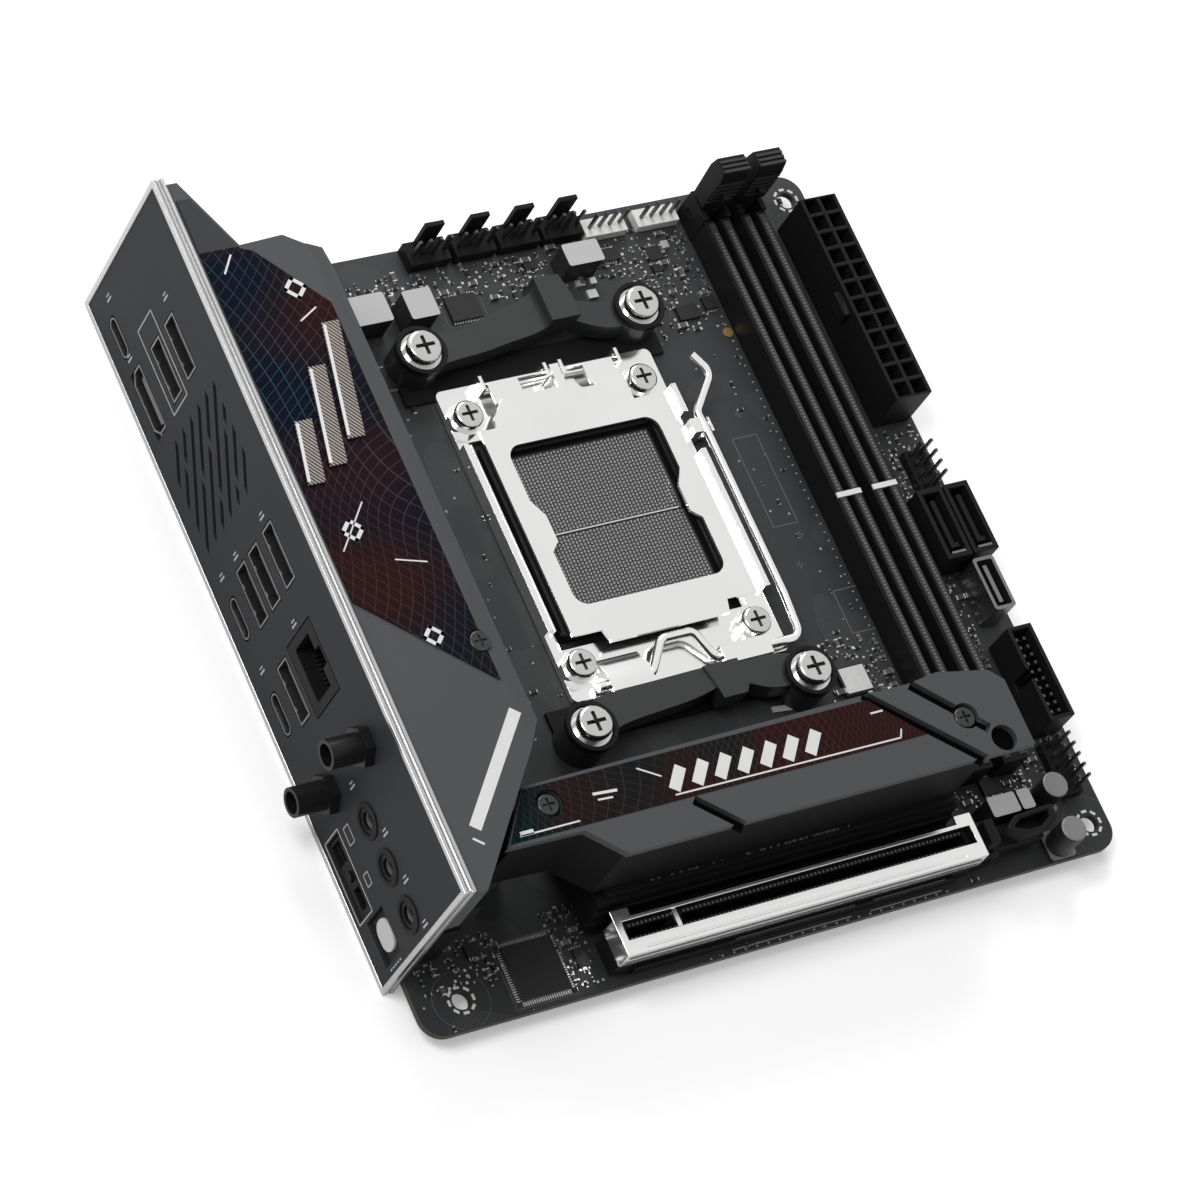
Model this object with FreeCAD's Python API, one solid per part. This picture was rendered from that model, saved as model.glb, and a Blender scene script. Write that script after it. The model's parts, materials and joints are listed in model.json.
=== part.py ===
import FreeCAD, Part
import math
import os

# A small square motherboard with its rear panel, covers, socket, slots and connectors.
# Working axes: X from the rear edge, Y from the expansion-slot edge, Z up from the
# board's top face. save() moves every piece to the part's own origin: the axis of the
# mounting hole at the rear by the expansion slot, on the board's underside.

V = FreeCAD.Vector

# ---- Board --------------------------------------------------------------------
BOARD_X = 170.0
BOARD_Y = 170.0
BOARD_T = 1.6
BOARD_CORNER_R = 5.0
HOLE_R = 1.98
HOLE_REAR_X = 10.16
HOLE_NEAR_Y = 6.35
HOLE_FRONT_X = BOARD_X - 4.90
HOLE_FAR_REAR_X = 33.02
HOLE_FAR_Y = BOARD_Y - 6.17

# ---- Clearances and common thicknesses -----------------------------------------
FIT_GAP = 0.3            # rigid pieces that pass through a cut-out
RUN_GAP = 0.08           # radial gap of a turning pin in its hole
MOVE_GAP = 0.35          # flat faces that pass each other
OVERCUT = 1.0            # how far a cutting shape stands past the face it cuts
EXACT = 1e-6             # two places closer than this count as one

# ---- Processor socket ---------------------------------------------------------
SOCKET_X = BOARD_X / 2 + 0.5
SOCKET_Y = BOARD_Y / 2 + 12.1
HOUSING_X = 43.0
HOUSING_Y = 46.0
HOUSING_H = 3.6
HOUSING_FLOOR = 1.8
HOUSING_CORNER_R = 1.2
RECESS_X = HOUSING_X - 2.8
RECESS_Y = HOUSING_Y - 5.8
CONTACT_H = 0.5
CONTACT_MARGIN = 0.9
CONTACT_SPLIT = 0.3
COOLER_DX = 54.0
COOLER_DY = 90.0
NEAR_ROW = SOCKET_Y - COOLER_DY / 2
FAR_ROW = SOCKET_Y + COOLER_DY / 2
BACKPLATE_T = 2.9
BACKPLATE_MARGIN = 5.0
BACKPLATE_WINDOW = (0.76, 0.6)
BACKPLATE_WINDOW_R = 3.0
POST_R = 2.6
THREAD_IN = 0.4

# Steel frame round the socket
FRAME_X0 = SOCKET_X - 24.7
FRAME_X1 = SOCKET_X + 28.7
FRAME_Y0 = NEAR_ROW + 8.1
FRAME_Y1 = FAR_ROW - 7.1
FRAME_T = 1.5
FRAME_LIFT = 0.2
FRAME_CORNER_R = 1.5
FRAME_WINDOW_X = HOUSING_X + 1.6
FRAME_WINDOW_Y = HOUSING_Y + 4.0
FRAME_RIM_W = 1.3
FRAME_RIM_H = 4.0
BEAD_W = 1.0
BEAD_H = 3.1
BEAD_IN = 2.1
BEAD_Y0 = NEAR_ROW + 23.9
BEAD_Y1 = FAR_ROW - 21.1
RIGHT_RIM_Y0 = NEAR_ROW + 22.4
RIGHT_RIM_Y1 = NEAR_ROW + 56.3
STOP_Y0 = SOCKET_Y + 20.5
STOP_Y1 = SOCKET_Y + 27.5
FRAME_PAD_H = 3.1
FRAME_PAD_R = 3.9
FRAME_SCREW_DX = 43.2
FRAME_SCREW_DY = COOLER_DY - 30.1
FRAME_SCREW_SHIFT = 0.6
FRAME_HEAD_R = 3.3
FRAME_HEAD_H = 2.5
FRAME_SHANK_R = 1.4

# Load lever, one bent wire, and what holds it
WIRE_R = 1.0
AXLE_Y = FRAME_Y0 + 1.6
AXLE_Z = 3.2
AXLE_X0 = SOCKET_X - 18.9
ARM_X = SOCKET_X + 31.5
ARM_Z = 4.4
ARM_BEND_Y = SOCKET_Y + 15.9
ARM_CORNER = 1.6
ARM_RISE_Y = 10.0
ARM_TAIL = ((-0.6, 3.4, 0.4), (5.2, 10.4, 2.0), (4.8, 12.2, 2.6), (2.6, 15.0, 3.2))
CRANK_X0 = SOCKET_X - 5.6
CRANK_X1 = SOCKET_X + 10.1
CRANK_IN = (4.4, 3.4)
CRANK_Y = AXLE_Y + 6.5
CRANK_Z = 4.7
HOOD_LEFT = (SOCKET_X - 16.7, SOCKET_X - 6.3)
HOOD_RIGHT = (SOCKET_X + 11.1, SOCKET_X + 22.9)
HOOD_TOP = 4.9
HOOD_OUT = 0.8
HOOD_WALL = 0.9
HOOD_FOOT = 0.6
HOOD_LEFT_REACH = 6.0
HOOD_RIGHT_REACH = 2.0
CATCH_Y0 = SOCKET_Y + 14.5
CATCH_Y1 = SOCKET_Y + 17.9
CATCH_T = 1.0
CATCH_LIFT = 0.9
LEVER_LIP = 0.6

# Load plate, hinged at the far edge of the frame
PLATE_T = 0.8
PLATE_Z = 4.2
HINGE_Y = FRAME_Y1 - 1.8
HINGE_Z = 3.9
HINGE_R = 0.7
HINGE_SEGMENTS = ((SOCKET_X - 14.3, SOCKET_X + 0.1), (SOCKET_X + 5.4, SOCKET_X + 17.8))
HINGE_ARM_W = 7.4
HINGE_ARM_IN = 0.6
HINGE_EAR_W = 0.8
HINGE_EAR_DEPTH = 1.5
HINGE_EAR_TOP = HINGE_Z + 1.4
PLATE_X0 = SOCKET_X - 20.5
PLATE_X1 = SOCKET_X + 25.3
PLATE_LIP_Y = CRANK_Y + 1.9
PLATE_Y0 = PLATE_LIP_Y + 3.1
PLATE_Y1 = HINGE_Y - 4.2
PLATE_LIP_X0 = SOCKET_X - 13.2
PLATE_LIP_X1 = SOCKET_X + 17.7
PLATE_LIP_SLANT = 0.8
PLATE_NOTCH_X = SOCKET_X - 16.1
PLATE_NOTCH_RIGHT_X = SOCKET_X + 17.9
PLATE_NOTCH_Y = PLATE_Y1 - 6.4
PLATE_NOTCH_SLANT = (4.0, 2.0)
WINDOW_X0 = SOCKET_X - 16.2
WINDOW_X1 = SOCKET_X + 20.9
WINDOW_Y0 = SOCKET_Y - 17.7
WINDOW_Y1 = SOCKET_Y + 20.8
WINDOW_R = 3.2
WINDOW_TAB = 2.1
WINDOW_TAB_Y0 = SOCKET_Y - 4.5
WINDOW_TAB_Y1 = SOCKET_Y + 7.7
WINDOW_TAB_SLANT = (2.0, 4.0)
MIDDLE_TAB_X = SOCKET_X + 3.0
MIDDLE_TAB_W = 2.2
MIDDLE_TAB_OUT = 1.2
PLATE_SLOT = (1.2, 5.6)
PLATE_SLOT_R = 1.2
PLATE_SLOT_Y = (-1.4, 3.0)

# Cooler brackets: outlines from the socket's middle and from the screws' row
LOBE_R = 5.6
LOBE_H = 7.2
BAR_Z = 2.6
BAR_TOP = 7.3
HOOK_TOP = 9.4
NEAR_HOOK_TOP = 7.9
BRACKET_SPAN = 54.0
FAR_LEFT_UPPER = ((-27.0, 5.0), (-20.5, 3.4), (-11.6, 4.5), (-5.2, 6.0), (1.8, 7.7), (5.2, 9.3))
FAR_LEFT_LOWER = ((-27.0, -4.8), (-19.3, -3.3), (-12.1, -2.8), (-6.6, -2.0), (0.4, -1.1), (5.2, 0.2))
FAR_RIGHT_UPPER = ((11.0, 5.2), (14.6, 4.2), (18.0, 3.3), (21.3, 3.3), (24.0, 4.2), (27.0, 5.4))
FAR_RIGHT_LOWER = ((11.0, 0.2), (14.5, -1.8), (17.7, -3.0), (21.0, -3.4), (23.5, -3.5), (27.0, -4.6))
FAR_HOOK = ((4.8, 0.2), (4.8, 11.0), (10.8, 10.6), (11.9, 5.4), (11.9, 0.2))
NEAR_LEFT_UPPER = ((-27.0, 4.8), (-20.0, 6.4), (-10.7, 6.6), (-5.0, 6.7), (0.6, 6.8), (5.2, 6.8))
NEAR_LEFT_LOWER = ((-27.0, -4.6), (-20.1, -1.2), (-14.0, -0.4), (-6.6, 0.1), (0.0, 0.8), (5.2, 2.0))
NEAR_RIGHT_UPPER = ((11.0, 6.6), (13.3, 6.2), (16.0, 6.2), (18.6, 6.3), (23.0, 5.6), (27.0, 4.9))
NEAR_RIGHT_LOWER = ((11.0, 1.6), (12.3, 1.0), (16.3, -0.9), (20.0, -1.6), (24.2, -2.2), (27.0, -4.8))
NEAR_HOOK = ((5.0, -1.0), (4.4, 3.4), (3.4, 6.9), (11.8, 6.9), (12.3, 1.2), (10.8, -1.0))
COOLER_HEAD_R = 3.9
COOLER_HEAD_H = 2.7
COOLER_SHANK_R = 1.5
WASHER_R = 4.5
WASHER_T = 0.7

# Cross-recess screw heads, as shares of the head
HEAD_ROUND = 0.35
RECESS_ARM = 0.58
RECESS_HALF_W = 0.11
RECESS_FLOOR = 0.5

# ---- Memory slots -------------------------------------------------------------
DIMM_X = (BOARD_X - 29.5, BOARD_X - 20.2)
DIMM_W = 6.4
DIMM_Y0 = 21.5
DIMM_Y1 = BOARD_Y - 11.4
DIMM_H = 8.0
DIMM_SLOT_W = 1.7
DIMM_SLOT_D = 6.0
DIMM_SLOT_IN = 2.5
DIMM_KEY_Y = SOCKET_Y - 8.1
DIMM_KEY_W = 1.4
DIMM_KEY_DROP = 0.2
LATCH_Y0 = DIMM_Y1 + 2.4
LATCH_Y1 = LATCH_Y0 + 4.6
LATCH_W = 3.8
LATCH_STEM_Z = 1.2
LATCH_HEAD_W = 7.0
LATCH_HEAD_Z = 9.6
LATCH_TOP = 23.0
LATCH_BULGE = 0.6
LATCH_BROW = 3.0
LATCH_NOSE = (1.4, 1.6, 13.0, 15.2)
CHEEK_T = 1.2
CHEEK_Y1 = LATCH_Y1 + 0.6
CHEEK_H = 8.8
CHEEK_FLOOR = 0.6
PIVOT_Y = LATCH_Y0 + 2.4
PIVOT_Z = 4.5
PIVOT_R = 0.8
PIN_SHARE = 0.8          # how far a pin reaches into the wall that holds it

# ---- Expansion slot -----------------------------------------------------------
PCIE_X0 = BOARD_X - 127.1
PCIE_X1 = PCIE_X0 + 87.5
PCIE_Y0 = 2.7
PCIE_Y1 = 9.9
PCIE_H = 10.8
PCIE_FOOT_Y0 = 1.9
PCIE_FOOT_H = 3.0
PCIE_FOOT_IN = 4.5
PCIE_SLOT_Y = 7.5
PCIE_SLOT_W = 2.0
PCIE_SLOT_D = 7.6
PCIE_SLOT_IN = 2.2
PCIE_WELL_D = 1.6
PCIE_KEY_X = PCIE_X0 + 13.7
PCIE_KEY_W = 2.0
SHELL_T = 0.45
SHELL_WINDOW_Y = (5.5, 9.5)
SHELL_WINDOW_IN = (1.2, 0.9)
SHELL_SIDE_Z = 5.8
SHELL_EAR_X = 4.2
SHELL_EAR_Y1 = 12.2
SHELL_BEAD_Y = (3.1, 3.5)
SHELL_BEAD_IN = 5.0
SHELL_BEAD_D = 0.25
PCIE_LATCH_X0 = PCIE_X1 + 3.3
PCIE_LATCH_X1 = PCIE_LATCH_X0 + 18.6
PCIE_LATCH_W = 5.4
PCIE_LATCH_MID = 7.4
PCIE_LATCH_Z = 1.2
PCIE_LATCH_BED = 5.0
PCIE_LATCH_H = 9.0
PCIE_POST_W = 2.4
PCIE_POST_TOP = 10.2
PCIE_PIVOT_Z = 3.2
PCIE_PIVOT_R = 0.9
PCIE_EAR_T = 1.0
PCIE_EAR_X = 6.7
PCIE_EAR_H = SHELL_SIDE_Z - FIT_GAP
GRIP_OUTER = ((5.4, 7.3), (9.6, 4.9), (14.2, 4.9), (18.6, 6.9), (18.6, 10.1), (15.4, 10.1), (9.0, 9.7))
GRIP_INNER = ((7.6, 7.3), (10.2, 6.0), (13.8, 6.0), (16.8, 7.6), (16.8, 9.0), (9.6, 8.6))

# ---- Rear panel ---------------------------------------------------------------
PANEL_OUT = 2.8          # outer face, behind the board's rear edge
PANEL_Y0 = 13.2
PANEL_Y1 = BOARD_Y + 4.56
PANEL_Z0 = -5.15
PANEL_Z1 = 42.51
PANEL_T = 1.2
PANEL_SET_IN = 0.25
RIM_W = 1.2
RIM_DEPTH = 2.6
RIM_GROOVE_W = 0.5
RIM_GROOVE_D = 0.35
VENT_Y0 = BOARD_Y - 58.7
VENT_Y1 = BOARD_Y - 36.7
VENT_Z0 = 1.1
VENT_Z1 = 32.1
VENT_HALF_W = 0.94
VENT_PITCH = 5.2
VENT_FIRST = BOARD_Y - 44.4
VENT_SLANT = 1.04
VENT_BREAK = 1.5
VENT_BREAKS = (None, 42.0, None, 47.7, 44.3, 53.9, 45.4, 55.6, None)

# Ports: centre of the mouth on the panel as (Y, Z)
PORT_FAR_Y = BOARD_Y - 24.2
USB_A_AT = ((PORT_FAR_Y, 15.9), (PORT_FAR_Y, 25.1), (95.7, 11.3), (95.7, 19.0), (95.7, 28.0),
            (73.6, 11.0))
USB_A_W = 13.1
USB_A_H = 5.3
USB_A_DEPTH = 17.5
USB_A_WALL = 0.4
USB_A_BACK = 2.0
USB_A_TONGUE_T = 1.7
USB_A_TONGUE_IN = 0.9
USB_A_TONGUE_DROP = 0.5
USB_A_MOUTH_R = 0.4
USB_C_AT = ((PORT_FAR_Y + 15.5, 2.6), (94.9, 2.3), (72.9, 2.3))
USB_C_W = 9.2
USB_C_H = 3.4
USB_C_R = 1.6
USB_C_DEPTH = 9.5
USB_C_WALL = 0.35
USB_C_BACK = 1.2
USB_C_TONGUE_T = 0.7
USB_C_TONGUE_IN = 1.5
PORT_TONGUE_IN = 0.9
PORT_FOOT_X = 0.6
PORT_FOOT_IN = 1.8
PORT_FOOT_SINK = 0.2
HDMI_AT = (PORT_FAR_Y - 0.3, 3.3)
HDMI_W = 15.0
HDMI_H = 5.6
HDMI_DEPTH = 11.5
HDMI_WALL = 0.45
HDMI_SLANT = (2.0, 2.2)
HDMI_MOUTH_R = 0.6
HDMI_TONGUE_T = 1.0
LAN_AT = (73.0, 22.4)
LAN_W = 15.9
LAN_H = 13.2
LAN_DEPTH = 21.3
LAN_MOUTH_W = 11.9
LAN_MOUTH_H = 7.6
LAN_MOUTH_D = 13.0
LAN_TAB_W = 4.2
LAN_TAB_H = 2.2
LAN_TAB_SHORT = 3.0
ANTENNA_AT = ((52.0, 29.5), (52.0, 8.4))
ANTENNA_R = 3.1
ANTENNA_OUT = 8.6
ANTENNA_IN = 6.0
ANTENNA_FLANGE = (1.4, 1.4)
ANTENNA_BORE_R = 2.3
ANTENNA_BORE_END = 1.5
ANTENNA_PIN_R = 0.6
ANTENNA_PIN_SET = 1.6
ANTENNA_NUT_R = 4.4
ANTENNA_NUT_T = 2.2
JACK_AT = ((41.0, 17.9), (30.7, 17.9), (20.3, 17.9))
JACK_R = 3.6
JACK_BORE_R = 1.85
JACK_DEPTH = 12.0
JACK_BACK = 1.4
JACK_BODY_W = 7.6
JACK_BODY_Z0 = 13.8
JACK_BODY_Z1 = 22.2
JACK_JOIN = 0.4
CONTROL_Y0 = 28.2
CONTROL_Y1 = 44.8
CONTROL_Z0 = -1.7
CONTROL_Z1 = 4.2
CONTROL_R = 0.3
CONTROL_SET_IN = 0.4
BIG_MOUTH = (39.5, 44.1, -1.1, 2.8)
BIG_MOUTH_D = 5.0
SMALL_MOUTH = (29.3, 33.9, 0.2, 3.0)
SMALL_MOUTH_D = 4.0
BLOCK_Y0 = 16.0
BLOCK_FACE_X = 0.9
PUSH_AT = (36.5, 1.5)
PUSH_R = 1.1
PUSH_OUT = 0.2
PUSH_GAP = 0.15
PUSH_END_GAP = 0.4
LARGE_PUSH_AT = (21.7, 5.2)
LARGE_PUSH_W = 6.8
LARGE_PUSH_H = 6.0
LARGE_PUSH_R = 2.7
LARGE_PUSH_SET_IN = 0.2
LARGE_FRAME = (16.8, 26.2, 0.9, 8.9)
LARGE_FRAME_X = PANEL_SET_IN - PANEL_OUT + 0.7
BUTTON_DEPTH = 5.0
BUTTON_CASE_D = 9.0
BUTTON_TRAVEL = 0.6

# ---- Rear cover and the heatsink under it ---------------------------------------
COVER_TOP = 40.0
COVER_SKIRT = 23.6
COVER_T = 1.5
COVER_EDGE_X = 30.5
COVER_EDGE_Z = 37.0
COVER_BEVEL_X = 25.2
COVER_DIAGONAL = ((3.5, 13.6), (COVER_EDGE_X, 45.8))
COVER_END = ((COVER_EDGE_X, BOARD_Y - 19.8), (29.7, BOARD_Y - 14.7), (24.9, BOARD_Y - 14.4),
             (20.9, BOARD_Y - 11.5), (11.0, BOARD_Y - 12.0))
COVER_FIN_X = 3.6
ART_T = 0.35
ART_X0 = 1.6
ART_X1 = 24.7
ART_CUT_NEAR = ((ART_X0, 77.3), (ART_X1, 54.4))
ART_CUT_FAR = ((ART_X1, BOARD_Y - 28.6), (13.0, BOARD_Y - 14.0), (10.6, BOARD_Y - 13.0),
               (4.6, BOARD_Y), (ART_X0, BOARD_Y))
EMBLEM_T = 0.8
EMBLEM_BARS = ((2.6, BOARD_Y - 67.0, 14.0), (8.8, BOARD_Y - 64.0, 22.0), (15.0, BOARD_Y - 59.0, 26.0))
EMBLEM_BAR_W = 4.0
EMBLEM_SLANT = 0.2
COVER_SCREW = (24.2, 63.3)
COVER_SCREW_R = 2.3
COVER_SCREW_SHANK_R = 1.3
COVER_SCREW_SINK = 0.7
COVER_SCREW_HEAD = 1.0
COVER_SCREW_L = 10.0
SINK_X0 = 23.6
SINK_X1 = 40.0
SINK_Y0 = 62.0
SINK_Y1 = BOARD_Y - 20.0
SINK_Z0 = 2.2
SINK_BASE_H = 6.0
SINK_LOW_TOP = 20.0
SINK_HIGH_X = 28.6
SINK_FIN_PITCH = 4.4
SINK_FIN_GAP = 2.2
STAGE_H = 1.2
STAGE_SIZE = 5.0
STAGE_IN = (4.0, 3.0)
PAD_IN = (2.0, 1.0)

# ---- Drive tower ----------------------------------------------------------------
TOWER_TOP = 35.0
TOWER_PLATE_T = 1.8
TOWER_X1 = BOARD_X - 33.4
TOWER_OUTLINE = ((22.3, 33.8), (13.8, 22.3), (31.2, 21.9), (38.2, 15.0), (TOWER_X1 - 0.1, 15.0),
                 (TOWER_X1, 30.1), (TOWER_X1 - 2.7, 33.0), (TOWER_X1 - 14.7, 35.3),
                 (TOWER_X1 - 22.1, 34.4), (TOWER_X1 - 33.2, 34.4))
TOWER_BODY = ((23.6, 32.8), (16.6, 23.4), (31.8, 22.9), (38.8, 16.0), (TOWER_X1 - 9.6, 16.0),
              (TOWER_X1 - 9.6, 30.6), (TOWER_X1 - 15.6, 33.6))
TOWER_STRIP = ((22.0, 33.2), (14.8, 22.9), (TOWER_X1 - 23.2, 22.9), (TOWER_X1 - 33.0, 33.2))
STRIP_T = 0.4
STRIP_PROUD = 0.1
TOWER_BODY_Z = 14.2
TOWER_RISER_Z = 12.8
TOWER_LOW_Z = 3.0
TIER_X0 = 40.0
TIER_X1 = TOWER_X1 - 8.6
TIER_Y1 = 33.0
TIERS = ((12.2, 6.0, 3.0), (12.8, 9.4, 6.0), (13.6, 12.8, 9.4))
RISER_X0 = 42.0
RISER_X1 = TOWER_X1 - 9.1
RISER_Y0 = 14.6
RISER_Y1 = 32.4
TOWER_SCREW_LEFT = (26.4, 29.1)
TOWER_SCREW_RIGHT = (TOWER_X1 - 12.6, 24.6)
TOWER_HOLE_R = 2.9
TOWER_HEAD_R = 2.4
TOWER_HEAD_H = 1.4
TOWER_SHANK_R = 1.1
TOWER_SCREW_TIPS = (4.0, 1.0)
STANDOFF_R = 2.6
STANDOFF_FLOOR = 0.6
DRIVE_SOCKET = (44.0, 50.0, 17.6, 31.0)
DRIVE_MOUTH = (46.5, 18.6, 30.0, 1.0, 2.0)
CHIPSET_AT = (TOWER_X1 - 38.6, 24.0)
CHIPSET_SIZE = 16.0
CHIPSET_DIE = 8.0
CHIPSET_H = 1.4

# ---- Power and signal connectors -------------------------------------------------
PIN_W = 0.64
PIN_PITCH = 2.54
PIN_TOP = 8.6
HEADER_BASE_H = 2.4
CELL_PITCH = 4.28
CELL_W = 3.4
CELL_D = 9.0
POWER_H = 12.65
CATCH_SIZE = (1.4, 6.0, 3.4)
CATCH_DROP = 1.6
MAIN_POWER_X0 = BOARD_X - 10.6
MAIN_POWER_ROWS = 12
CPU_POWER_X0 = 8.0
CPU_POWER_IN = 0.6
CPU_POWER_COLUMNS = 4
POWER_WALL = 0.4
FAN_X = (BOARD_X - 97.0, BOARD_X - 85.8, BOARD_X - 74.7, BOARD_X - 63.8)
FAN_Y0 = BOARD_Y - 5.8
FAN_W = 9.9
FAN_D = 5.7
FAN_BASE_H = 3.2
FAN_TAB_W = 4.6
FAN_TAB_T = 1.1
FAN_TAB_H = 10.6
FAN_PINS = 4
FAN_PIN_IN = 2.4
LIGHT_X = (BOARD_X - 53.0, BOARD_X - 39.7)
LIGHT_Y = BOARD_Y - 4.6
LIGHT_W = 10.6
LIGHT_D = 4.4
LIGHT_BASE_H = 2.4
LIGHT_PIN_TOP = 7.8

# Front edge, from the near corner on: what is left between the connectors is shared out
PANEL_PINS = (BOARD_X - 7.8, 14.2)
PANEL_PIN_ROWS = 5
EDGE_PIN_ROWS = 4
USB3_L = 22.5
USB_FRONT_L = 12.6
SATA_L = 17.0
SPARE = BOARD_Y - 152.1
SPARE_SHARE = (0.105, 0.27, 0.06, 0.12, 0.445)
USB3_Y0 = PANEL_PINS[1] + PIN_PITCH * (PANEL_PIN_ROWS - 0.5) + SPARE * SPARE_SHARE[0]
USB_FRONT_Y0 = USB3_Y0 + USB3_L + SPARE * SPARE_SHARE[1]
SATA_Y0 = USB_FRONT_Y0 + USB_FRONT_L + SPARE * SPARE_SHARE[2]
EDGE_PINS = (BOARD_X - 6.6, SATA_Y0 + SATA_L + SPARE * SPARE_SHARE[3] + PIN_PITCH / 2)
MAIN_POWER_Y0 = EDGE_PINS[1] + PIN_PITCH * (EDGE_PIN_ROWS - 0.5) + SPARE * SPARE_SHARE[4]
SATA_X = (BOARD_X - 14.0, BOARD_X - 7.1)
SATA_W = 6.4
SATA_H = 9.0
SATA_FLOOR = 2.6
SATA_WALL = (1.0, 1.2)
SATA_TONGUE = (1.2, 1.4)
SATA_TONGUE_DROP = 0.8
SATA_KEY = (1.6, 1.2)
USB_FRONT_X = (BOARD_X - 8.5, BOARD_X - 3.0)
USB_FRONT_H = 8.6
USB_FRONT_WALL = 0.75
USB_FRONT_R = (0.8, 0.5)
USB_FRONT_FLOOR = 2.0
USB_FRONT_TONGUE = (1.0, 1.8, 0.7)
USB3_X = (BOARD_X - 8.7, BOARD_X - 2.4)
USB3_H = 9.4
USB3_WALL = 0.9
USB3_FLOOR = 1.2
USB3_KEY = (2.4, 2.6)
USB3_PIN_PITCH = 1.95
USB3_PIN_ROWS = 10
USB3_PIN_IN = 2.4
USB3_PIN_DROP = 1.6

# Power supply parts: (X, Y, width, depth) for each choke, then the hidden row
CHOKE_FAR_SHARE = 0.56
CHOKES = ((SOCKET_X - 33.6, FAR_ROW + 12.3, 9.0, 7.0), (SOCKET_X - 21.6, FAR_ROW + 11.4, 6.8, 6.9),
          (SOCKET_X + 20.6, FAR_ROW + (BOARD_Y - FAR_ROW) * CHOKE_FAR_SHARE, 8.9, 5.4))
SMALL_CHOKES = ((PCIE_X1 + 12.2, 13.2, 7.0, 4.6), (PCIE_X1 + 17.9, 13.2, 3.2, 4.6))
CHOKE_H = 7.0
CHOKE_R = 0.6
HIDDEN_CHOKE_X = 44.6
HIDDEN_CHOKE_Y0 = 66.0
HIDDEN_CHOKE_COUNT = 8
HIDDEN_CHOKE_PITCH = 9.6
HIDDEN_CHOKE_SIZE = 6.2
CAPACITORS = ((BOARD_X - 14.5, 13.9), (BOARD_X - 15.1, 3.5))
CAP_R = 3.0
CAP_H = 8.8
CAP_BASE_H = 1.0
CAP_FOOT_OUT = 0.3
CAP_FOOT_R = 1.0
CAP_ROUND = 0.5
BETWEEN_X = (SOCKET_X + DIMM_X[0]) / 2
CHIPS = (((HOLE_REAR_X + PCIE_X0) / 2 + 1.5, 8.4, 11.4, 11.8, 1.1),
         (BETWEEN_X + 13.3, NEAR_ROW - 1.7, 7.0, 6.6, 0.9),
         (BETWEEN_X + 15.2, FAR_ROW - 0.3, 5.2, 3.4, 0.9),
         (30.0, 54.0, 8.0, 8.0, 1.0))


# ---- Shape helpers ----------------------------------------------------------------
def box(x0, x1, y0, y1, z0, z1):
    return Part.makeBox(x1 - x0, y1 - y0, z1 - z0, V(x0, y0, z0))


def rod(x, y, z0, z1, r):
    return Part.makeCylinder(r, z1 - z0, V(x, y, z0), V(0, 0, 1))


def rod_x(x0, x1, y, z, r):
    return Part.makeCylinder(r, x1 - x0, V(x0, y, z), V(1, 0, 0))


def rod_y(y0, y1, x, z, r):
    return Part.makeCylinder(r, y1 - y0, V(x, y0, z), V(0, 1, 0))


def prism(points, z0, z1):
    corners = [V(x, y, z0) for x, y in points]
    face = Part.Face(Part.makePolygon(corners + corners[:1]))
    return face.extrude(V(0, 0, z1 - z0))


def prism_x(points, x0, x1):
    corners = [V(x0, y, z) for y, z in points]
    face = Part.Face(Part.makePolygon(corners + corners[:1]))
    return face.extrude(V(x1 - x0, 0, 0))


def prism_y(points, y0, y1):
    corners = [V(x, y0, z) for x, z in points]
    face = Part.Face(Part.makePolygon(corners + corners[:1]))
    return face.extrude(V(0, y1 - y0, 0))


def band(upper, lower, z0, z1):
    """A flat bar between two smooth curves that run the same way."""
    edges = []
    for line in (upper, lower):
        curve = Part.BSplineCurve()
        curve.interpolate([V(x, y, z0) for x, y in line])
        edges.append(curve.toShape())
    for end in (0, -1):
        start = V(*upper[end], z0)
        edges.append(Part.makeLine(start, V(*lower[end], z0)))
    face = Part.Face(Part.Wire(Part.__sortEdges__(edges)))
    return face.extrude(V(0, 0, z1 - z0))


def fuse(*shapes):
    return shapes[0].fuse(list(shapes[1:])).removeSplitter()


def cut(shape, *tools):
    return shape.cut(list(tools))


def group(shapes):
    return Part.makeCompound(list(shapes))


def edges_along(shape, axis):
    chosen = []
    for edge in shape.Edges:
        direction = edge.tangentAt(edge.FirstParameter)
        if isinstance(edge.Curve, Part.Line) and abs(direction.dot(axis)) > 1 - EXACT:
            chosen.append(edge)
    return chosen


def round_box(x0, x1, y0, y1, z0, z1, r):
    block = box(x0, x1, y0, y1, z0, z1)
    return block.makeFillet(r, edges_along(block, V(0, 0, 1)))


def pill_x(x0, x1, y, z, width, height, r):
    block = box(x0, x1, y - width / 2, y + width / 2, z - height / 2, z + height / 2)
    return block.makeFillet(r, edges_along(block, V(1, 0, 0)))


def hexagon_x(x0, x1, y, z, r):
    points = []
    for k in range(6):
        angle = math.radians(60 * k)
        points.append((y + r * math.cos(angle), z + r * math.sin(angle)))
    return prism_x(points, x0, x1)


def inset(points, distance, z0, z1):
    """The prism of an outline moved inwards by a wall thickness."""
    corners = [V(x, y, z0) for x, y in points]
    wire = Part.makePolygon(corners + corners[:1])
    inner = wire.makeOffset2D(-distance, 2)
    return Part.Face(inner).extrude(V(0, 0, z1 - z0))


def bent_wire(points, r):
    """A round wire along straight runs, with a ball at each bend."""
    pieces = []
    for start, end in zip(points, points[1:]):
        run = end - start
        pieces.append(Part.makeCylinder(r, run.Length, start, run))
    for corner in points[1:-1]:
        pieces.append(Part.makeSphere(r, corner))
    return fuse(*pieces)


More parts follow.
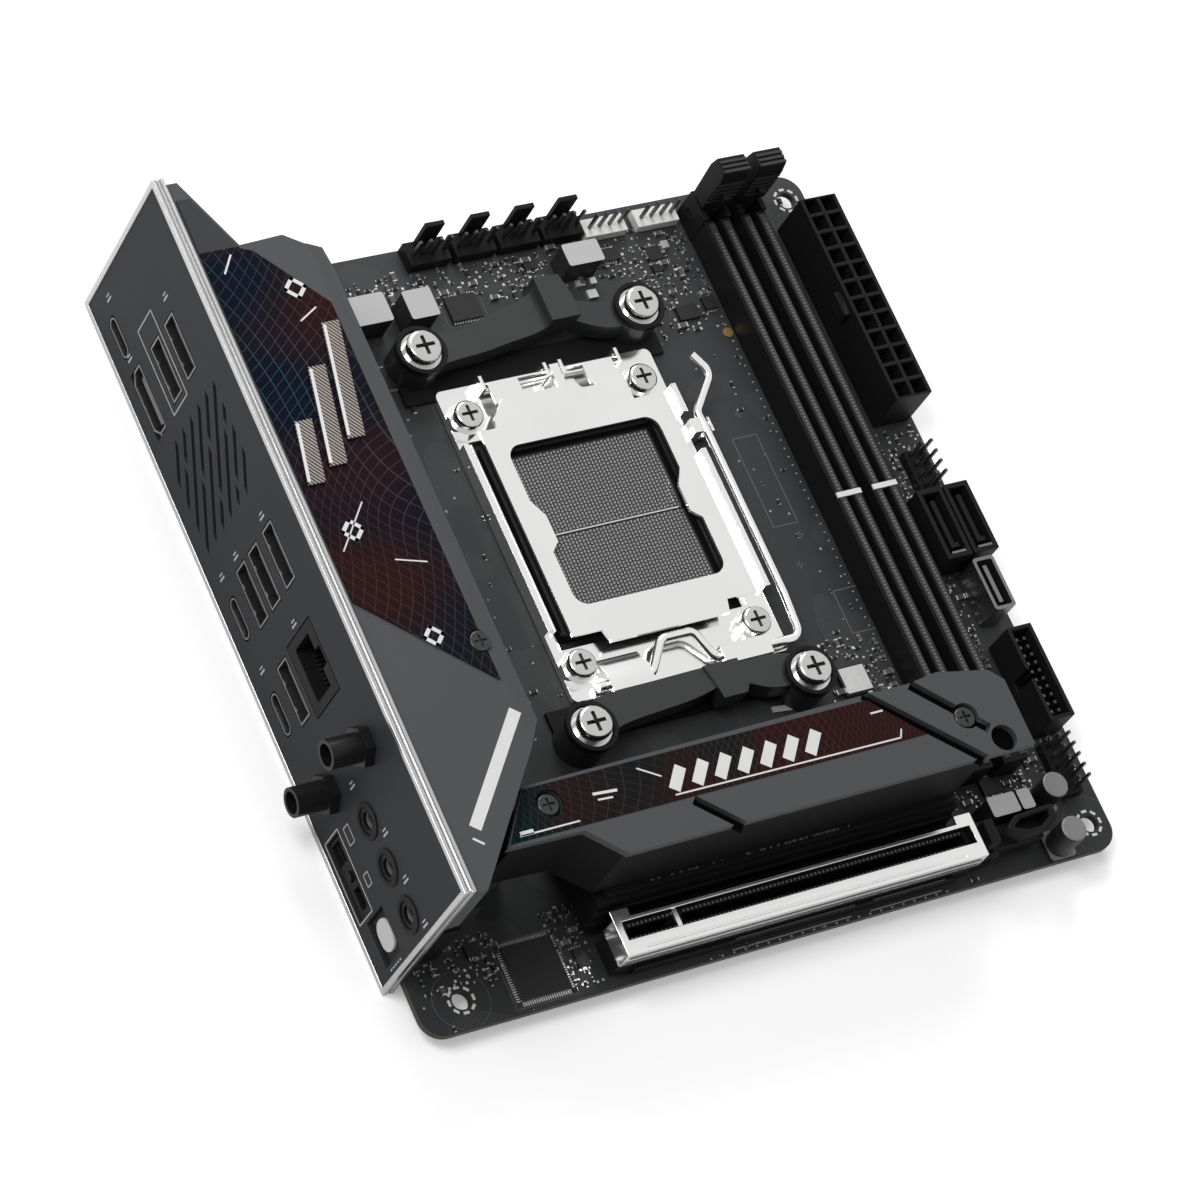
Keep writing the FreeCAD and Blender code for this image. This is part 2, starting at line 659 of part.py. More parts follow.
def rounded_top(shape, z, r):
    rim = [edge for edge in shape.Edges if abs(edge.CenterOfMass.z - z) < EXACT]
    return shape.makeFillet(r, rim)


def screw(x, y, seat, head_r, head_h, shank_r, tip):
    """A pan-head screw with a cross recess; the head sits on z = seat."""
    top = seat + head_h
    head = rounded_top(rod(x, y, seat, top, head_r), top, head_h * HEAD_ROUND)
    arm = head_r * RECESS_ARM
    half = head_r * RECESS_HALF_W
    floor = seat + head_h * RECESS_FLOOR
    cross = fuse(box(x - arm, x + arm, y - half, y + half, floor, top + OVERCUT),
                 box(x - half, x + half, y - arm, y + arm, floor, top + OVERCUT))
    return fuse(cut(head, cross), rod(x, y, tip, seat, shank_r))


def around(x, y, dx, dy):
    """The four corners of a bolt rectangle centred on x, y."""
    return [(x + sx * dx / 2, y + sy * dy / 2) for sx in (-1, 1) for sy in (-1, 1)]


# ---- Places worked out from the sizes ----------------------------------------------
COOLER_AT = around(SOCKET_X, SOCKET_Y, COOLER_DX, COOLER_DY)
FRAME_AT = around(SOCKET_X + FRAME_SCREW_SHIFT, SOCKET_Y, FRAME_SCREW_DX, FRAME_SCREW_DY)
MOUNT_AT = ((HOLE_REAR_X, HOLE_NEAR_Y), (HOLE_FRONT_X, HOLE_NEAR_Y),
            (HOLE_FAR_REAR_X, HOLE_FAR_Y), (HOLE_FRONT_X, HOLE_FAR_Y))
PANEL_FACE = -PANEL_OUT
PANEL_X0 = PANEL_FACE + PANEL_SET_IN
PANEL_X1 = PANEL_X0 + PANEL_T
RIM_X1 = PANEL_FACE + RIM_DEPTH
UNDERSIDE = -BOARD_T
BACKPLATE_Z0 = UNDERSIDE - BACKPLATE_T
FRAME_TOP = FRAME_LIFT + FRAME_T
CONTACT_TOP = HOUSING_FLOOR + CONTACT_H
HOUSING_BOX = (SOCKET_X - HOUSING_X / 2, SOCKET_X + HOUSING_X / 2,
               SOCKET_Y - HOUSING_Y / 2, SOCKET_Y + HOUSING_Y / 2)


# ---- Board and socket -----------------------------------------------------------
def make_board():
    slab = round_box(0, BOARD_X, 0, BOARD_Y, UNDERSIDE, 0, BOARD_CORNER_R)
    low = UNDERSIDE - OVERCUT
    tools = [rod(x, y, low, OVERCUT, HOLE_R) for x, y in MOUNT_AT]
    tools += [rod(x, y, low, OVERCUT, POST_R + FIT_GAP) for x, y in COOLER_AT]
    tools += [rod(x, y, low, OVERCUT, FRAME_SHANK_R + FIT_GAP) for x, y in FRAME_AT]
    return cut(slab, *tools)


def make_backplate():
    half_x = COOLER_DX / 2 + BACKPLATE_MARGIN
    half_y = COOLER_DY / 2 + BACKPLATE_MARGIN
    plate = round_box(SOCKET_X - half_x, SOCKET_X + half_x, SOCKET_Y - half_y,
                      SOCKET_Y + half_y, BACKPLATE_Z0, UNDERSIDE, BACKPLATE_MARGIN)
    open_x = half_x * BACKPLATE_WINDOW[0] / 2
    open_y = half_y * BACKPLATE_WINDOW[1] / 2
    low = BACKPLATE_Z0 - OVERCUT
    window = round_box(SOCKET_X - open_x, SOCKET_X + open_x, SOCKET_Y - open_y,
                       SOCKET_Y + open_y, low, UNDERSIDE + OVERCUT, BACKPLATE_WINDOW_R)
    posts = [rod(x, y, UNDERSIDE, 0, POST_R) for x, y in COOLER_AT]
    bores = [rod(x, y, low, OVERCUT, COOLER_SHANK_R + RUN_GAP) for x, y in COOLER_AT]
    bores += [rod(x, y, low, OVERCUT, FRAME_SHANK_R + RUN_GAP) for x, y in FRAME_AT]
    return cut(fuse(plate, *posts), window, *bores)


def make_housing():
    body = round_box(*HOUSING_BOX, 0, HOUSING_H, HOUSING_CORNER_R)
    recess = box(SOCKET_X - RECESS_X / 2, SOCKET_X + RECESS_X / 2, SOCKET_Y - RECESS_Y / 2,
                 SOCKET_Y + RECESS_Y / 2, HOUSING_FLOOR, HOUSING_H + OVERCUT)
    return cut(body, recess)


def make_contacts():
    half_x = RECESS_X / 2 - CONTACT_MARGIN
    half_y = RECESS_Y / 2 - CONTACT_MARGIN
    near = box(SOCKET_X - half_x, SOCKET_X + half_x, SOCKET_Y - half_y, SOCKET_Y - CONTACT_SPLIT,
               HOUSING_FLOOR, CONTACT_TOP)
    far = box(SOCKET_X - half_x, SOCKET_X + half_x, SOCKET_Y + CONTACT_SPLIT, SOCKET_Y + half_y,
              HOUSING_FLOOR, CONTACT_TOP)
    return group([near, far])


def hood(span, reach):
    """A folded steel lug that holds the lever's axle."""
    outer = FRAME_Y0 - HOOD_OUT
    far_y = AXLE_Y + reach
    profile = ((outer, FRAME_LIFT), (outer, HOOD_TOP), (AXLE_Y + WIRE_R + HOOD_WALL, HOOD_TOP),
               (far_y, FRAME_TOP + HOOD_FOOT), (far_y, FRAME_LIFT))
    return prism_x(profile, span[0], span[1])


def make_frame():
    sheet = round_box(FRAME_X0, FRAME_X1, FRAME_Y0, FRAME_Y1, FRAME_LIFT, FRAME_TOP, FRAME_CORNER_R)
    ridges = [box(FRAME_X0, FRAME_X0 + FRAME_RIM_W, BEAD_Y0, BEAD_Y1, FRAME_LIFT, FRAME_RIM_H)]
    for x0 in (FRAME_X0 + BEAD_IN, FRAME_X1 - BEAD_IN - BEAD_W):
        ridges.append(box(x0, x0 + BEAD_W, BEAD_Y0, BEAD_Y1, FRAME_LIFT, BEAD_H))
    rim_x0 = FRAME_X1 - FRAME_LIFT
    for y0, y1 in ((RIGHT_RIM_Y0, RIGHT_RIM_Y1), (STOP_Y0, STOP_Y1)):
        ridges.append(box(rim_x0, FRAME_X1 + BEAD_W, y0, y1, FRAME_LIFT, FRAME_RIM_H))
    pads = [rod(x, y, FRAME_LIFT, FRAME_PAD_H, FRAME_PAD_R) for x, y in FRAME_AT]
    pads = [pad.common(box(FRAME_X0, FRAME_X1, FRAME_Y0, FRAME_Y1, 0, FRAME_PAD_H)) for pad in pads]
    join_x = FRAME_X1 - LEVER_LIP
    low = FRAME_LIFT + CATCH_LIFT
    clear = WIRE_R + MOVE_GAP
    catch = fuse(box(join_x, ARM_X + clear + LEVER_LIP, CATCH_Y0, CATCH_Y1, low, low + CATCH_T),
                 box(ARM_X + clear, ARM_X + clear + LEVER_LIP, CATCH_Y0, CATCH_Y1, low, ARM_Z),
                 box(join_x, ARM_X - clear, CATCH_Y0, CATCH_Y1, FRAME_LIFT, ARM_Z + WIRE_R))
    ears = []
    for x0, x1 in HINGE_SEGMENTS:
        for ear_x in (x0 - MOVE_GAP - HINGE_EAR_W, x1 + MOVE_GAP):
            ears.append(box(ear_x, ear_x + HINGE_EAR_W, HINGE_Y - HINGE_EAR_DEPTH, FRAME_Y1,
                            FRAME_LIFT, HINGE_EAR_TOP))
    metal = fuse(sheet, catch, hood(HOOD_LEFT, HOOD_LEFT_REACH), hood(HOOD_RIGHT, HOOD_RIGHT_REACH),
                 *ridges, *pads, *ears)
    tools = [box(SOCKET_X - FRAME_WINDOW_X / 2, SOCKET_X + FRAME_WINDOW_X / 2,
                 SOCKET_Y - FRAME_WINDOW_Y / 2, SOCKET_Y + FRAME_WINDOW_Y / 2, 0, FRAME_RIM_H)]
    tools += [rod(x, y, 0, FRAME_PAD_H + OVERCUT, FRAME_SHANK_R + RUN_GAP) for x, y in FRAME_AT]
    tools.append(rod_x(HOOD_LEFT[0] - OVERCUT, HOOD_RIGHT[1] + OVERCUT, AXLE_Y, AXLE_Z, WIRE_R + RUN_GAP))
    ear_reach = MOVE_GAP + HINGE_EAR_W + OVERCUT
    tools.append(rod_x(HINGE_SEGMENTS[0][0] - ear_reach, HINGE_SEGMENTS[1][1] + ear_reach,
                       HINGE_Y, HINGE_Z, HINGE_R + RUN_GAP))
    return cut(metal, *tools)


def make_load_plate():
    z0 = PLATE_Z
    z1 = PLATE_Z + PLATE_T
    slant_x, slant_y = PLATE_NOTCH_SLANT
    outline = ((PLATE_X0, PLATE_Y0), (PLATE_LIP_X0, PLATE_Y0),
               (PLATE_LIP_X0 + PLATE_LIP_SLANT, PLATE_LIP_Y), (PLATE_LIP_X1 - PLATE_LIP_SLANT, PLATE_LIP_Y),
               (PLATE_LIP_X1, PLATE_Y0), (PLATE_X1, PLATE_Y0),
               (PLATE_X1, PLATE_NOTCH_Y), (PLATE_NOTCH_RIGHT_X, PLATE_NOTCH_Y),
               (PLATE_NOTCH_RIGHT_X, PLATE_Y1), (PLATE_NOTCH_X + slant_x, PLATE_Y1),
               (PLATE_NOTCH_X, PLATE_NOTCH_Y + slant_y), (PLATE_NOTCH_X, PLATE_NOTCH_Y),
               (PLATE_X0, PLATE_NOTCH_Y))
    sheet = prism(outline, z0, z1)
    window = round_box(WINDOW_X0, WINDOW_X1, WINDOW_Y0, WINDOW_Y1, z0 - OVERCUT, z1 + OVERCUT, WINDOW_R)
    near_slant, far_slant = WINDOW_TAB_SLANT
    tabs = []
    for edge, sign in ((WINDOW_X0, 1), (WINDOW_X1, -1)):
        root = edge - sign * PLATE_T
        tip = edge + sign * WINDOW_TAB
        tabs.append(prism(((root, WINDOW_TAB_Y0), (edge, WINDOW_TAB_Y0),
                           (tip, WINDOW_TAB_Y0 + near_slant), (tip, WINDOW_TAB_Y1 - far_slant),
                           (edge, WINDOW_TAB_Y1), (root, WINDOW_TAB_Y1)), z0, z1))
    arms = []
    reach = MOVE_GAP + HINGE_EAR_W
    arm_starts = (HINGE_SEGMENTS[0][0] + HINGE_ARM_IN, HINGE_SEGMENTS[1][1] - HINGE_ARM_IN - HINGE_ARM_W)
    for (x0, x1), arm_x in zip(HINGE_SEGMENTS, arm_starts):
        arms.append(rod_x(x0 - reach, x1 + reach, HINGE_Y, HINGE_Z, HINGE_R))
        arms.append(box(arm_x, arm_x + HINGE_ARM_W, PLATE_Y1 - PLATE_T, HINGE_Y, z0, HINGE_Z + HINGE_R))
    half = MIDDLE_TAB_W / 2
    middle = box(MIDDLE_TAB_X - half, MIDDLE_TAB_X + half, PLATE_Y1 - PLATE_T,
                 HINGE_Y + MIDDLE_TAB_OUT, z0, z1)
    slot_x = HINGE_SEGMENTS[1][0]
    slot = round_box(slot_x + PLATE_SLOT[0], slot_x + PLATE_SLOT[1], PLATE_Y1 + PLATE_SLOT_Y[0],
                     PLATE_Y1 + PLATE_SLOT_Y[1], z0 - OVERCUT, z1 + OVERCUT, PLATE_SLOT_R)
    return fuse(cut(sheet, window, slot), *tabs, *arms, middle)


def make_lever():
    points = [V(AXLE_X0, AXLE_Y, AXLE_Z), V(CRANK_X0, AXLE_Y, AXLE_Z),
              V(CRANK_X0 + CRANK_IN[0], CRANK_Y, CRANK_Z), V(CRANK_X1 - CRANK_IN[1], CRANK_Y, CRANK_Z),
              V(CRANK_X1, AXLE_Y, AXLE_Z), V(ARM_X - ARM_CORNER, AXLE_Y, AXLE_Z),
              V(ARM_X, AXLE_Y + ARM_CORNER, AXLE_Z), V(ARM_X, AXLE_Y + ARM_RISE_Y, ARM_Z),
              V(ARM_X, ARM_BEND_Y, ARM_Z)]
    for dx, dy, dz in ARM_TAIL:
        points.append(V(ARM_X + dx, ARM_BEND_Y + dy, ARM_Z + dz))
    return bent_wire(points, WIRE_R)


def bracket(row_y, bars, hook_outline, hook_top):
    """A cooler bracket on its row of screws; its outlines scale with the screws' spacing."""
    scale = COOLER_DX / BRACKET_SPAN
    screws_x = (SOCKET_X - COOLER_DX / 2, SOCKET_X + COOLER_DX / 2)

    def placed(outline):
        return [(SOCKET_X + dx * scale, row_y + dy) for dx, dy in outline]

    lobes = [rod(x, row_y, 0, LOBE_H, LOBE_R) for x in screws_x]
    spans = [band(placed(upper), placed(lower), BAR_Z, BAR_TOP) for upper, lower in bars]
    hook = prism(placed(hook_outline), BAR_Z, hook_top)
    solid = fuse(hook, *lobes, *spans)
    tools = [rod(x, row_y, -OVERCUT, hook_top, COOLER_SHANK_R + FIT_GAP) for x in screws_x]
    tools += [rod(x, row_y, LOBE_H, hook_top, WASHER_R + FIT_GAP) for x in screws_x]
    return cut(solid, *tools)


def make_bracket_screws():
    screws = []
    for x, y in COOLER_AT:
        washer = rod(x, y, LOBE_H, LOBE_H + WASHER_T, WASHER_R)
        body = screw(x, y, LOBE_H + WASHER_T, COOLER_HEAD_R, COOLER_HEAD_H, COOLER_SHANK_R,
                     BACKPLATE_Z0 + THREAD_IN)
        screws.append(fuse(washer, body))
    return group(screws)


def make_frame_screws():
    screws = []
    for x, y in FRAME_AT:
        screws.append(screw(x, y, FRAME_PAD_H, FRAME_HEAD_R, FRAME_HEAD_H, FRAME_SHANK_R,
                            BACKPLATE_Z0 + THREAD_IN))
    return group(screws)


# ---- Memory and expansion slots -----------------------------------------------------
def make_dimm_slot(x):
    half = DIMM_W / 2
    half_slot = DIMM_SLOT_W / 2
    floor_z = DIMM_H - DIMM_SLOT_D
    body = box(x - half, x + half, DIMM_Y0, DIMM_Y1, 0, DIMM_H)
    groove = box(x - half_slot, x + half_slot, DIMM_Y0 + DIMM_SLOT_IN, DIMM_Y1 + OVERCUT,
                 floor_z, DIMM_H + OVERCUT)
    key = box(x - half_slot, x + half_slot, DIMM_KEY_Y - DIMM_KEY_W / 2,
              DIMM_KEY_Y + DIMM_KEY_W / 2, floor_z, DIMM_H - DIMM_KEY_DROP)
    inner = LATCH_W / 2 + MOVE_GAP
    outer = inner + CHEEK_T
    cheeks = [box(x - outer, x - inner, DIMM_Y1, CHEEK_Y1, 0, CHEEK_H),
              box(x + inner, x + outer, DIMM_Y1, CHEEK_Y1, 0, CHEEK_H)]
    floor = box(x - outer, x + outer, DIMM_Y1, CHEEK_Y1, 0, CHEEK_FLOOR)
    solid = fuse(cut(body, groove), key, floor, *cheeks)
    return cut(solid, rod_x(x - outer - OVERCUT, x + outer + OVERCUT, PIVOT_Y, PIVOT_Z,
                            PIVOT_R + RUN_GAP))


def make_dimm_latch(x):
    half = LATCH_W / 2
    top_half = LATCH_HEAD_W / 2
    stem = box(x - half, x + half, LATCH_Y0, LATCH_Y1, LATCH_STEM_Z, LATCH_HEAD_Z + OVERCUT)
    head = prism_x(((LATCH_Y0, LATCH_HEAD_Z), (LATCH_Y1, LATCH_HEAD_Z),
                    (LATCH_Y1 + LATCH_BULGE, LATCH_TOP - LATCH_BROW), (LATCH_Y1, LATCH_TOP),
                    (LATCH_Y0 + LATCH_BULGE, LATCH_TOP), (LATCH_Y0, LATCH_TOP - LATCH_BROW)),
                   x - top_half, x + top_half)
    reach = half + MOVE_GAP + CHEEK_T * PIN_SHARE
    pin = rod_x(x - reach, x + reach, PIVOT_Y, PIVOT_Z, PIVOT_R)
    width, out, low, high = LATCH_NOSE
    nose = box(x - width / 2, x + width / 2, LATCH_Y0 - out, LATCH_Y0 + out, low, high)
    return fuse(stem, head, pin, nose)


def make_pcie_slot():
    mid = PCIE_SLOT_Y
    half_slot = PCIE_SLOT_W / 2
    body = fuse(box(PCIE_X0, PCIE_X1, PCIE_Y0, PCIE_Y1, 0, PCIE_H),
                box(PCIE_X0 + PCIE_FOOT_IN, PCIE_X1 - PCIE_FOOT_IN, PCIE_FOOT_Y0, PCIE_Y1, 0, PCIE_FOOT_H))
    well = box(PCIE_X0 + SHELL_WINDOW_IN[0], PCIE_X1 - SHELL_WINDOW_IN[1], SHELL_WINDOW_Y[0],
               SHELL_WINDOW_Y[1], PCIE_H - PCIE_WELL_D, PCIE_H + OVERCUT)
    groove = box(PCIE_X0 + PCIE_SLOT_IN, PCIE_X1 - PCIE_SLOT_IN, mid - half_slot, mid + half_slot,
                 PCIE_H - PCIE_SLOT_D, PCIE_H + OVERCUT)
    key = box(PCIE_KEY_X - PCIE_KEY_W / 2, PCIE_KEY_X + PCIE_KEY_W / 2, mid - half_slot,
              mid + half_slot, PCIE_H - PCIE_SLOT_D, PCIE_H)
    inner = PCIE_LATCH_W / 2 + MOVE_GAP
    outer = inner + PCIE_EAR_T
    ears = [box(PCIE_X1, PCIE_X1 + PCIE_EAR_X, PCIE_LATCH_MID - outer, PCIE_LATCH_MID - inner, 0, PCIE_EAR_H),
            box(PCIE_X1, PCIE_X1 + PCIE_EAR_X, PCIE_LATCH_MID + inner, PCIE_LATCH_MID + outer, 0, PCIE_EAR_H)]
    link = box(PCIE_X1 - OVERCUT, PCIE_X1 + PCIE_EAR_T, PCIE_LATCH_MID - outer, PCIE_LATCH_MID + outer,
               0, PCIE_EAR_H)
    solid = fuse(cut(body, well, groove), key, link, *ears)
    pivot_x = PCIE_LATCH_X0 + PCIE_POST_W / 2
    return cut(solid, rod_y(PCIE_LATCH_MID - outer - OVERCUT, PCIE_LATCH_MID + outer + OVERCUT,
                            pivot_x, PCIE_PIVOT_Z, PCIE_PIVOT_R + RUN_GAP))


def make_pcie_shell():
    """The steel jacket: folded over both long sides, with wider ears at its two ends."""
    x0 = PCIE_X0 - SHELL_T
    x1 = PCIE_X1 + SHELL_T
    top = PCIE_H + SHELL_T
    skirt = box(x0, x1, PCIE_Y0 - SHELL_T, PCIE_Y1 + SHELL_T, SHELL_SIDE_Z, top)
    skirt = cut(skirt, box(PCIE_X0, PCIE_X1, PCIE_Y0, PCIE_Y1, 0, PCIE_H))
    ears = [box(x0, x0 + SHELL_EAR_X, PCIE_Y0 - SHELL_T, SHELL_EAR_Y1, PCIE_H, top),
            box(x1 - SHELL_EAR_X, x1, PCIE_Y0 - SHELL_T, SHELL_EAR_Y1, PCIE_H, top)]
    opening = box(PCIE_X0 + SHELL_WINDOW_IN[0], PCIE_X1 - SHELL_WINDOW_IN[1], SHELL_WINDOW_Y[0],
                  SHELL_WINDOW_Y[1], PCIE_H - OVERCUT, top + OVERCUT)
    bead = box(x0 + SHELL_BEAD_IN, x1 - SHELL_BEAD_IN, SHELL_BEAD_Y[0], SHELL_BEAD_Y[1],
               top - SHELL_BEAD_D, top + OVERCUT)
    return cut(fuse(skirt, *ears), opening, bead)


def make_pcie_latch():
    y0 = PCIE_LATCH_MID - PCIE_LATCH_W / 2
    y1 = PCIE_LATCH_MID + PCIE_LATCH_W / 2
    x0 = PCIE_LATCH_X0
    post = box(x0, x0 + PCIE_POST_W, y0, y1, PCIE_LATCH_Z, PCIE_POST_TOP)
    bed = box(x0, PCIE_LATCH_X1 - PCIE_POST_W, y0, y1, PCIE_LATCH_Z, PCIE_LATCH_BED)
    grip = prism([(x0 + dx, y) for dx, y in GRIP_OUTER], PCIE_LATCH_BED - OVERCUT, PCIE_LATCH_H)
    hollow = prism([(x0 + dx, y) for dx, y in GRIP_INNER], PCIE_LATCH_BED, PCIE_LATCH_H + OVERCUT)
    reach = MOVE_GAP + PCIE_EAR_T * PIN_SHARE
    pin = rod_y(y0 - reach, y1 + reach, x0 + PCIE_POST_W / 2, PCIE_PIVOT_Z, PCIE_PIVOT_R)
    return fuse(cut(fuse(bed, grip), hollow), post, pin)


# ---- Rear panel and ports ------------------------------------------------------------
def vent_slots():
    """Slanted slots on parallel lines, cut short by the vent's edges and single bridges."""
    slots = []
    for k, from_far in enumerate(VENT_BREAKS):
        line = VENT_FIRST - VENT_PITCH * k
        low = max(VENT_Y0, line + VENT_SLANT * VENT_Z0)
        high = min(VENT_Y1, line + VENT_SLANT * VENT_Z1)
        spans = [(low, high)]
        if from_far is not None:
            gap_y = BOARD_Y - from_far
            spans = [(low, gap_y - VENT_BREAK / 2), (gap_y + VENT_BREAK / 2, high)]
        for y0, y1 in spans:
            z0 = (y0 - line) / VENT_SLANT
            z1 = (y1 - line) / VENT_SLANT
            slots.append(prism_x(((y0 - VENT_HALF_W, z0), (y0 + VENT_HALF_W, z0),
                                  (y1 + VENT_HALF_W, z1), (y1 - VENT_HALF_W, z1)),
                                 PANEL_X0 - OVERCUT, PANEL_X1 + OVERCUT))
    return slots


def mouth(at, width, height, r):
    """A cut-out in the panel, a fit gap larger than the port that passes through it."""
    return pill_x(PANEL_X0 - OVERCUT, PANEL_X1 + OVERCUT, at[0], at[1], width + 2 * FIT_GAP,
                  height + 2 * FIT_GAP, r)


def make_panel():
    sheet = box(PANEL_X0, PANEL_X1, PANEL_Y0 + RIM_W, PANEL_Y1 - RIM_W, PANEL_Z0 + RIM_W,
                PANEL_Z1 - RIM_W)
    tools = vent_slots()
    tools += [mouth(at, USB_A_W, USB_A_H, USB_A_MOUTH_R) for at in USB_A_AT]
    tools += [mouth(at, USB_C_W, USB_C_H, USB_C_R) for at in USB_C_AT]
    tools.append(mouth(HDMI_AT, HDMI_W, HDMI_H, HDMI_MOUTH_R))
    tools.append(mouth(LAN_AT, LAN_W, LAN_H, USB_A_MOUTH_R))
    round_holes = [(at, ANTENNA_R) for at in ANTENNA_AT] + [(at, JACK_R) for at in JACK_AT]
    for (y, z), r in round_holes:
        tools.append(rod_x(PANEL_X0 - OVERCUT, PANEL_X1 + OVERCUT, y, z, r + FIT_GAP))
    control = ((CONTROL_Y0 + CONTROL_Y1) / 2, (CONTROL_Z0 + CONTROL_Z1) / 2)
    tools.append(mouth(control, CONTROL_Y1 - CONTROL_Y0, CONTROL_Z1 - CONTROL_Z0, CONTROL_R))
    y0, y1, z0, z1 = LARGE_FRAME
    tools.append(mouth(((y0 + y1) / 2, (z0 + z1) / 2), y1 - y0, z1 - z0, CONTROL_R))
    return cut(sheet, *tools)


def make_rim():
    outer = box(PANEL_FACE, RIM_X1, PANEL_Y0, PANEL_Y1, PANEL_Z0, PANEL_Z1)
    inner = box(PANEL_FACE - OVERCUT, RIM_X1 + OVERCUT, PANEL_Y0 + RIM_W, PANEL_Y1 - RIM_W,
                PANEL_Z0 + RIM_W, PANEL_Z1 - RIM_W)
    mid = (PANEL_FACE + RIM_X1) / 2
    half = RIM_GROOVE_W / 2
    ring = box(mid - half, mid + half, PANEL_Y0 - OVERCUT, PANEL_Y1 + OVERCUT,
               PANEL_Z0 - OVERCUT, PANEL_Z1 + OVERCUT)
    core = box(mid - half - OVERCUT, mid + half + OVERCUT, PANEL_Y0 + RIM_GROOVE_D,
               PANEL_Y1 - RIM_GROOVE_D, PANEL_Z0 + RIM_GROOVE_D, PANEL_Z1 - RIM_GROOVE_D)
    return cut(outer, inner, cut(ring, core))


def usb_a_shell(at):
    y, z = at
    x1 = PANEL_X0 + USB_A_DEPTH
    half_w = USB_A_W / 2
    half_h = USB_A_H / 2
    outer = box(PANEL_X0, x1, y - half_w, y + half_w, z - half_h, z + half_h)
    inner = box(PANEL_X0 - OVERCUT, x1 - USB_A_BACK, y - half_w + USB_A_WALL, y + half_w - USB_A_WALL,
                z - half_h + USB_A_WALL, z + half_h - USB_A_WALL)
    return cut(outer, inner)


def usb_a_tongue(at):
    y, z = at
    half = USB_A_W / 2 - USB_A_TONGUE_IN
    top = z + USB_A_H / 2 - USB_A_WALL - USB_A_TONGUE_DROP
    return box(PANEL_X0 + PORT_TONGUE_IN, PANEL_X0 + USB_A_DEPTH - USB_A_BACK, y - half, y + half,
               top - USB_A_TONGUE_T, top)


def make_usb_a_shells():
    return group([usb_a_shell(at) for at in USB_A_AT])


def make_usb_a_bodies():
    """The plastic tongues, and the moulded spacers that stack the shells on the board."""
    pieces = [usb_a_tongue(at) for at in USB_A_AT]
    half = USB_A_W / 2
    half_h = USB_A_H / 2
    low_ports = [(at, USB_C_H / 2) for at in USB_C_AT] + [(HDMI_AT, HDMI_H / 2)]
    for column_y in sorted({at[0] for at in USB_A_AT}):
        heights = sorted(at[1] for at in USB_A_AT if at[0] == column_y)
        below = [z + roof for (y, z), roof in low_ports if abs(y - column_y) < half]
        floor = below[0]
        for z in heights:
            pieces.append(box(PORT_FOOT_X, PANEL_X0 + USB_A_DEPTH, column_y - half, column_y + half,
                              floor, z - half_h))
            floor = z + half_h
    return group(pieces)


def make_usb_c_ports():
    ports = []
    half = USB_C_W / 2
    low_r = USB_C_R - USB_C_WALL
    for y, z in USB_C_AT:
        x1 = PANEL_X0 + USB_C_DEPTH
        outer = pill_x(PANEL_X0, x1, y, z, USB_C_W, USB_C_H, USB_C_R)
        inner = pill_x(PANEL_X0 - OVERCUT, x1 - USB_C_BACK, y, z, USB_C_W - 2 * USB_C_WALL,
                       USB_C_H - 2 * USB_C_WALL, low_r)
        tongue = box(PANEL_X0 + PORT_TONGUE_IN, x1 - USB_C_BACK / 2, y - half + USB_C_TONGUE_IN,
                     y + half - USB_C_TONGUE_IN, z - USB_C_TONGUE_T / 2, z + USB_C_TONGUE_T / 2)
        foot = box(PORT_FOOT_X, x1, y - half + PORT_FOOT_IN, y + half - PORT_FOOT_IN, 0,
                   z - USB_C_H / 2 + PORT_FOOT_SINK)
        ports.append(fuse(cut(outer, inner), tongue, foot))
    return group(ports)


def hdmi_profile(y, z, wall):
    half = HDMI_W / 2 - wall
    low = z - HDMI_H / 2 + wall
    high = z + HDMI_H / 2 - wall
    run, rise = HDMI_SLANT
    return ((y - half, low + rise - wall), (y - half + run, low), (y + half - run, low),
            (y + half, low + rise - wall), (y + half, high), (y - half, high))


def make_hdmi_port():
    y, z = HDMI_AT
    x1 = PANEL_X0 + HDMI_DEPTH
    half = HDMI_W / 2
    low = z - HDMI_H / 2
    shell = cut(prism_x(hdmi_profile(y, z, 0), PANEL_X0, x1),
                prism_x(hdmi_profile(y, z, HDMI_WALL), PANEL_X0 - OVERCUT, x1 - USB_C_BACK))
    tongue_in = HDMI_WALL + USB_C_TONGUE_IN
    tongue = box(PANEL_X0 + PORT_TONGUE_IN, x1 - USB_C_BACK / 2, y - half + tongue_in,
                 y + half - tongue_in, z - HDMI_TONGUE_T / 2, z + HDMI_TONGUE_T / 2)
    foot_in = HDMI_SLANT[0] + HDMI_WALL
    foot = box(PORT_FOOT_X, x1, y - half + foot_in, y + half - foot_in, 0, low + PORT_FOOT_SINK)
    return fuse(shell, tongue, foot)


def make_lan_port():
    y, z = LAN_AT
    x1 = PANEL_X0 + LAN_DEPTH
    low = z - LAN_H / 2
    top = z + LAN_MOUTH_H / 2
    body = box(PANEL_X0, x1, y - LAN_W / 2, y + LAN_W / 2, low, z + LAN_H / 2)
    hole = box(PANEL_X0 - OVERCUT, PANEL_X0 + LAN_MOUTH_D, y - LAN_MOUTH_W / 2, y + LAN_MOUTH_W / 2,
               z - LAN_MOUTH_H / 2, top)
    tab = box(PANEL_X0 - OVERCUT, PANEL_X0 + LAN_MOUTH_D - LAN_TAB_SHORT, y - LAN_TAB_W / 2,
              y + LAN_TAB_W / 2, z, top + LAN_TAB_H)
    rear = box(PANEL_X0 + USB_A_DEPTH + FIT_GAP, x1, y - LAN_W / 2, y + LAN_W / 2, 0, low)
    return fuse(cut(body, hole, tab), rear)


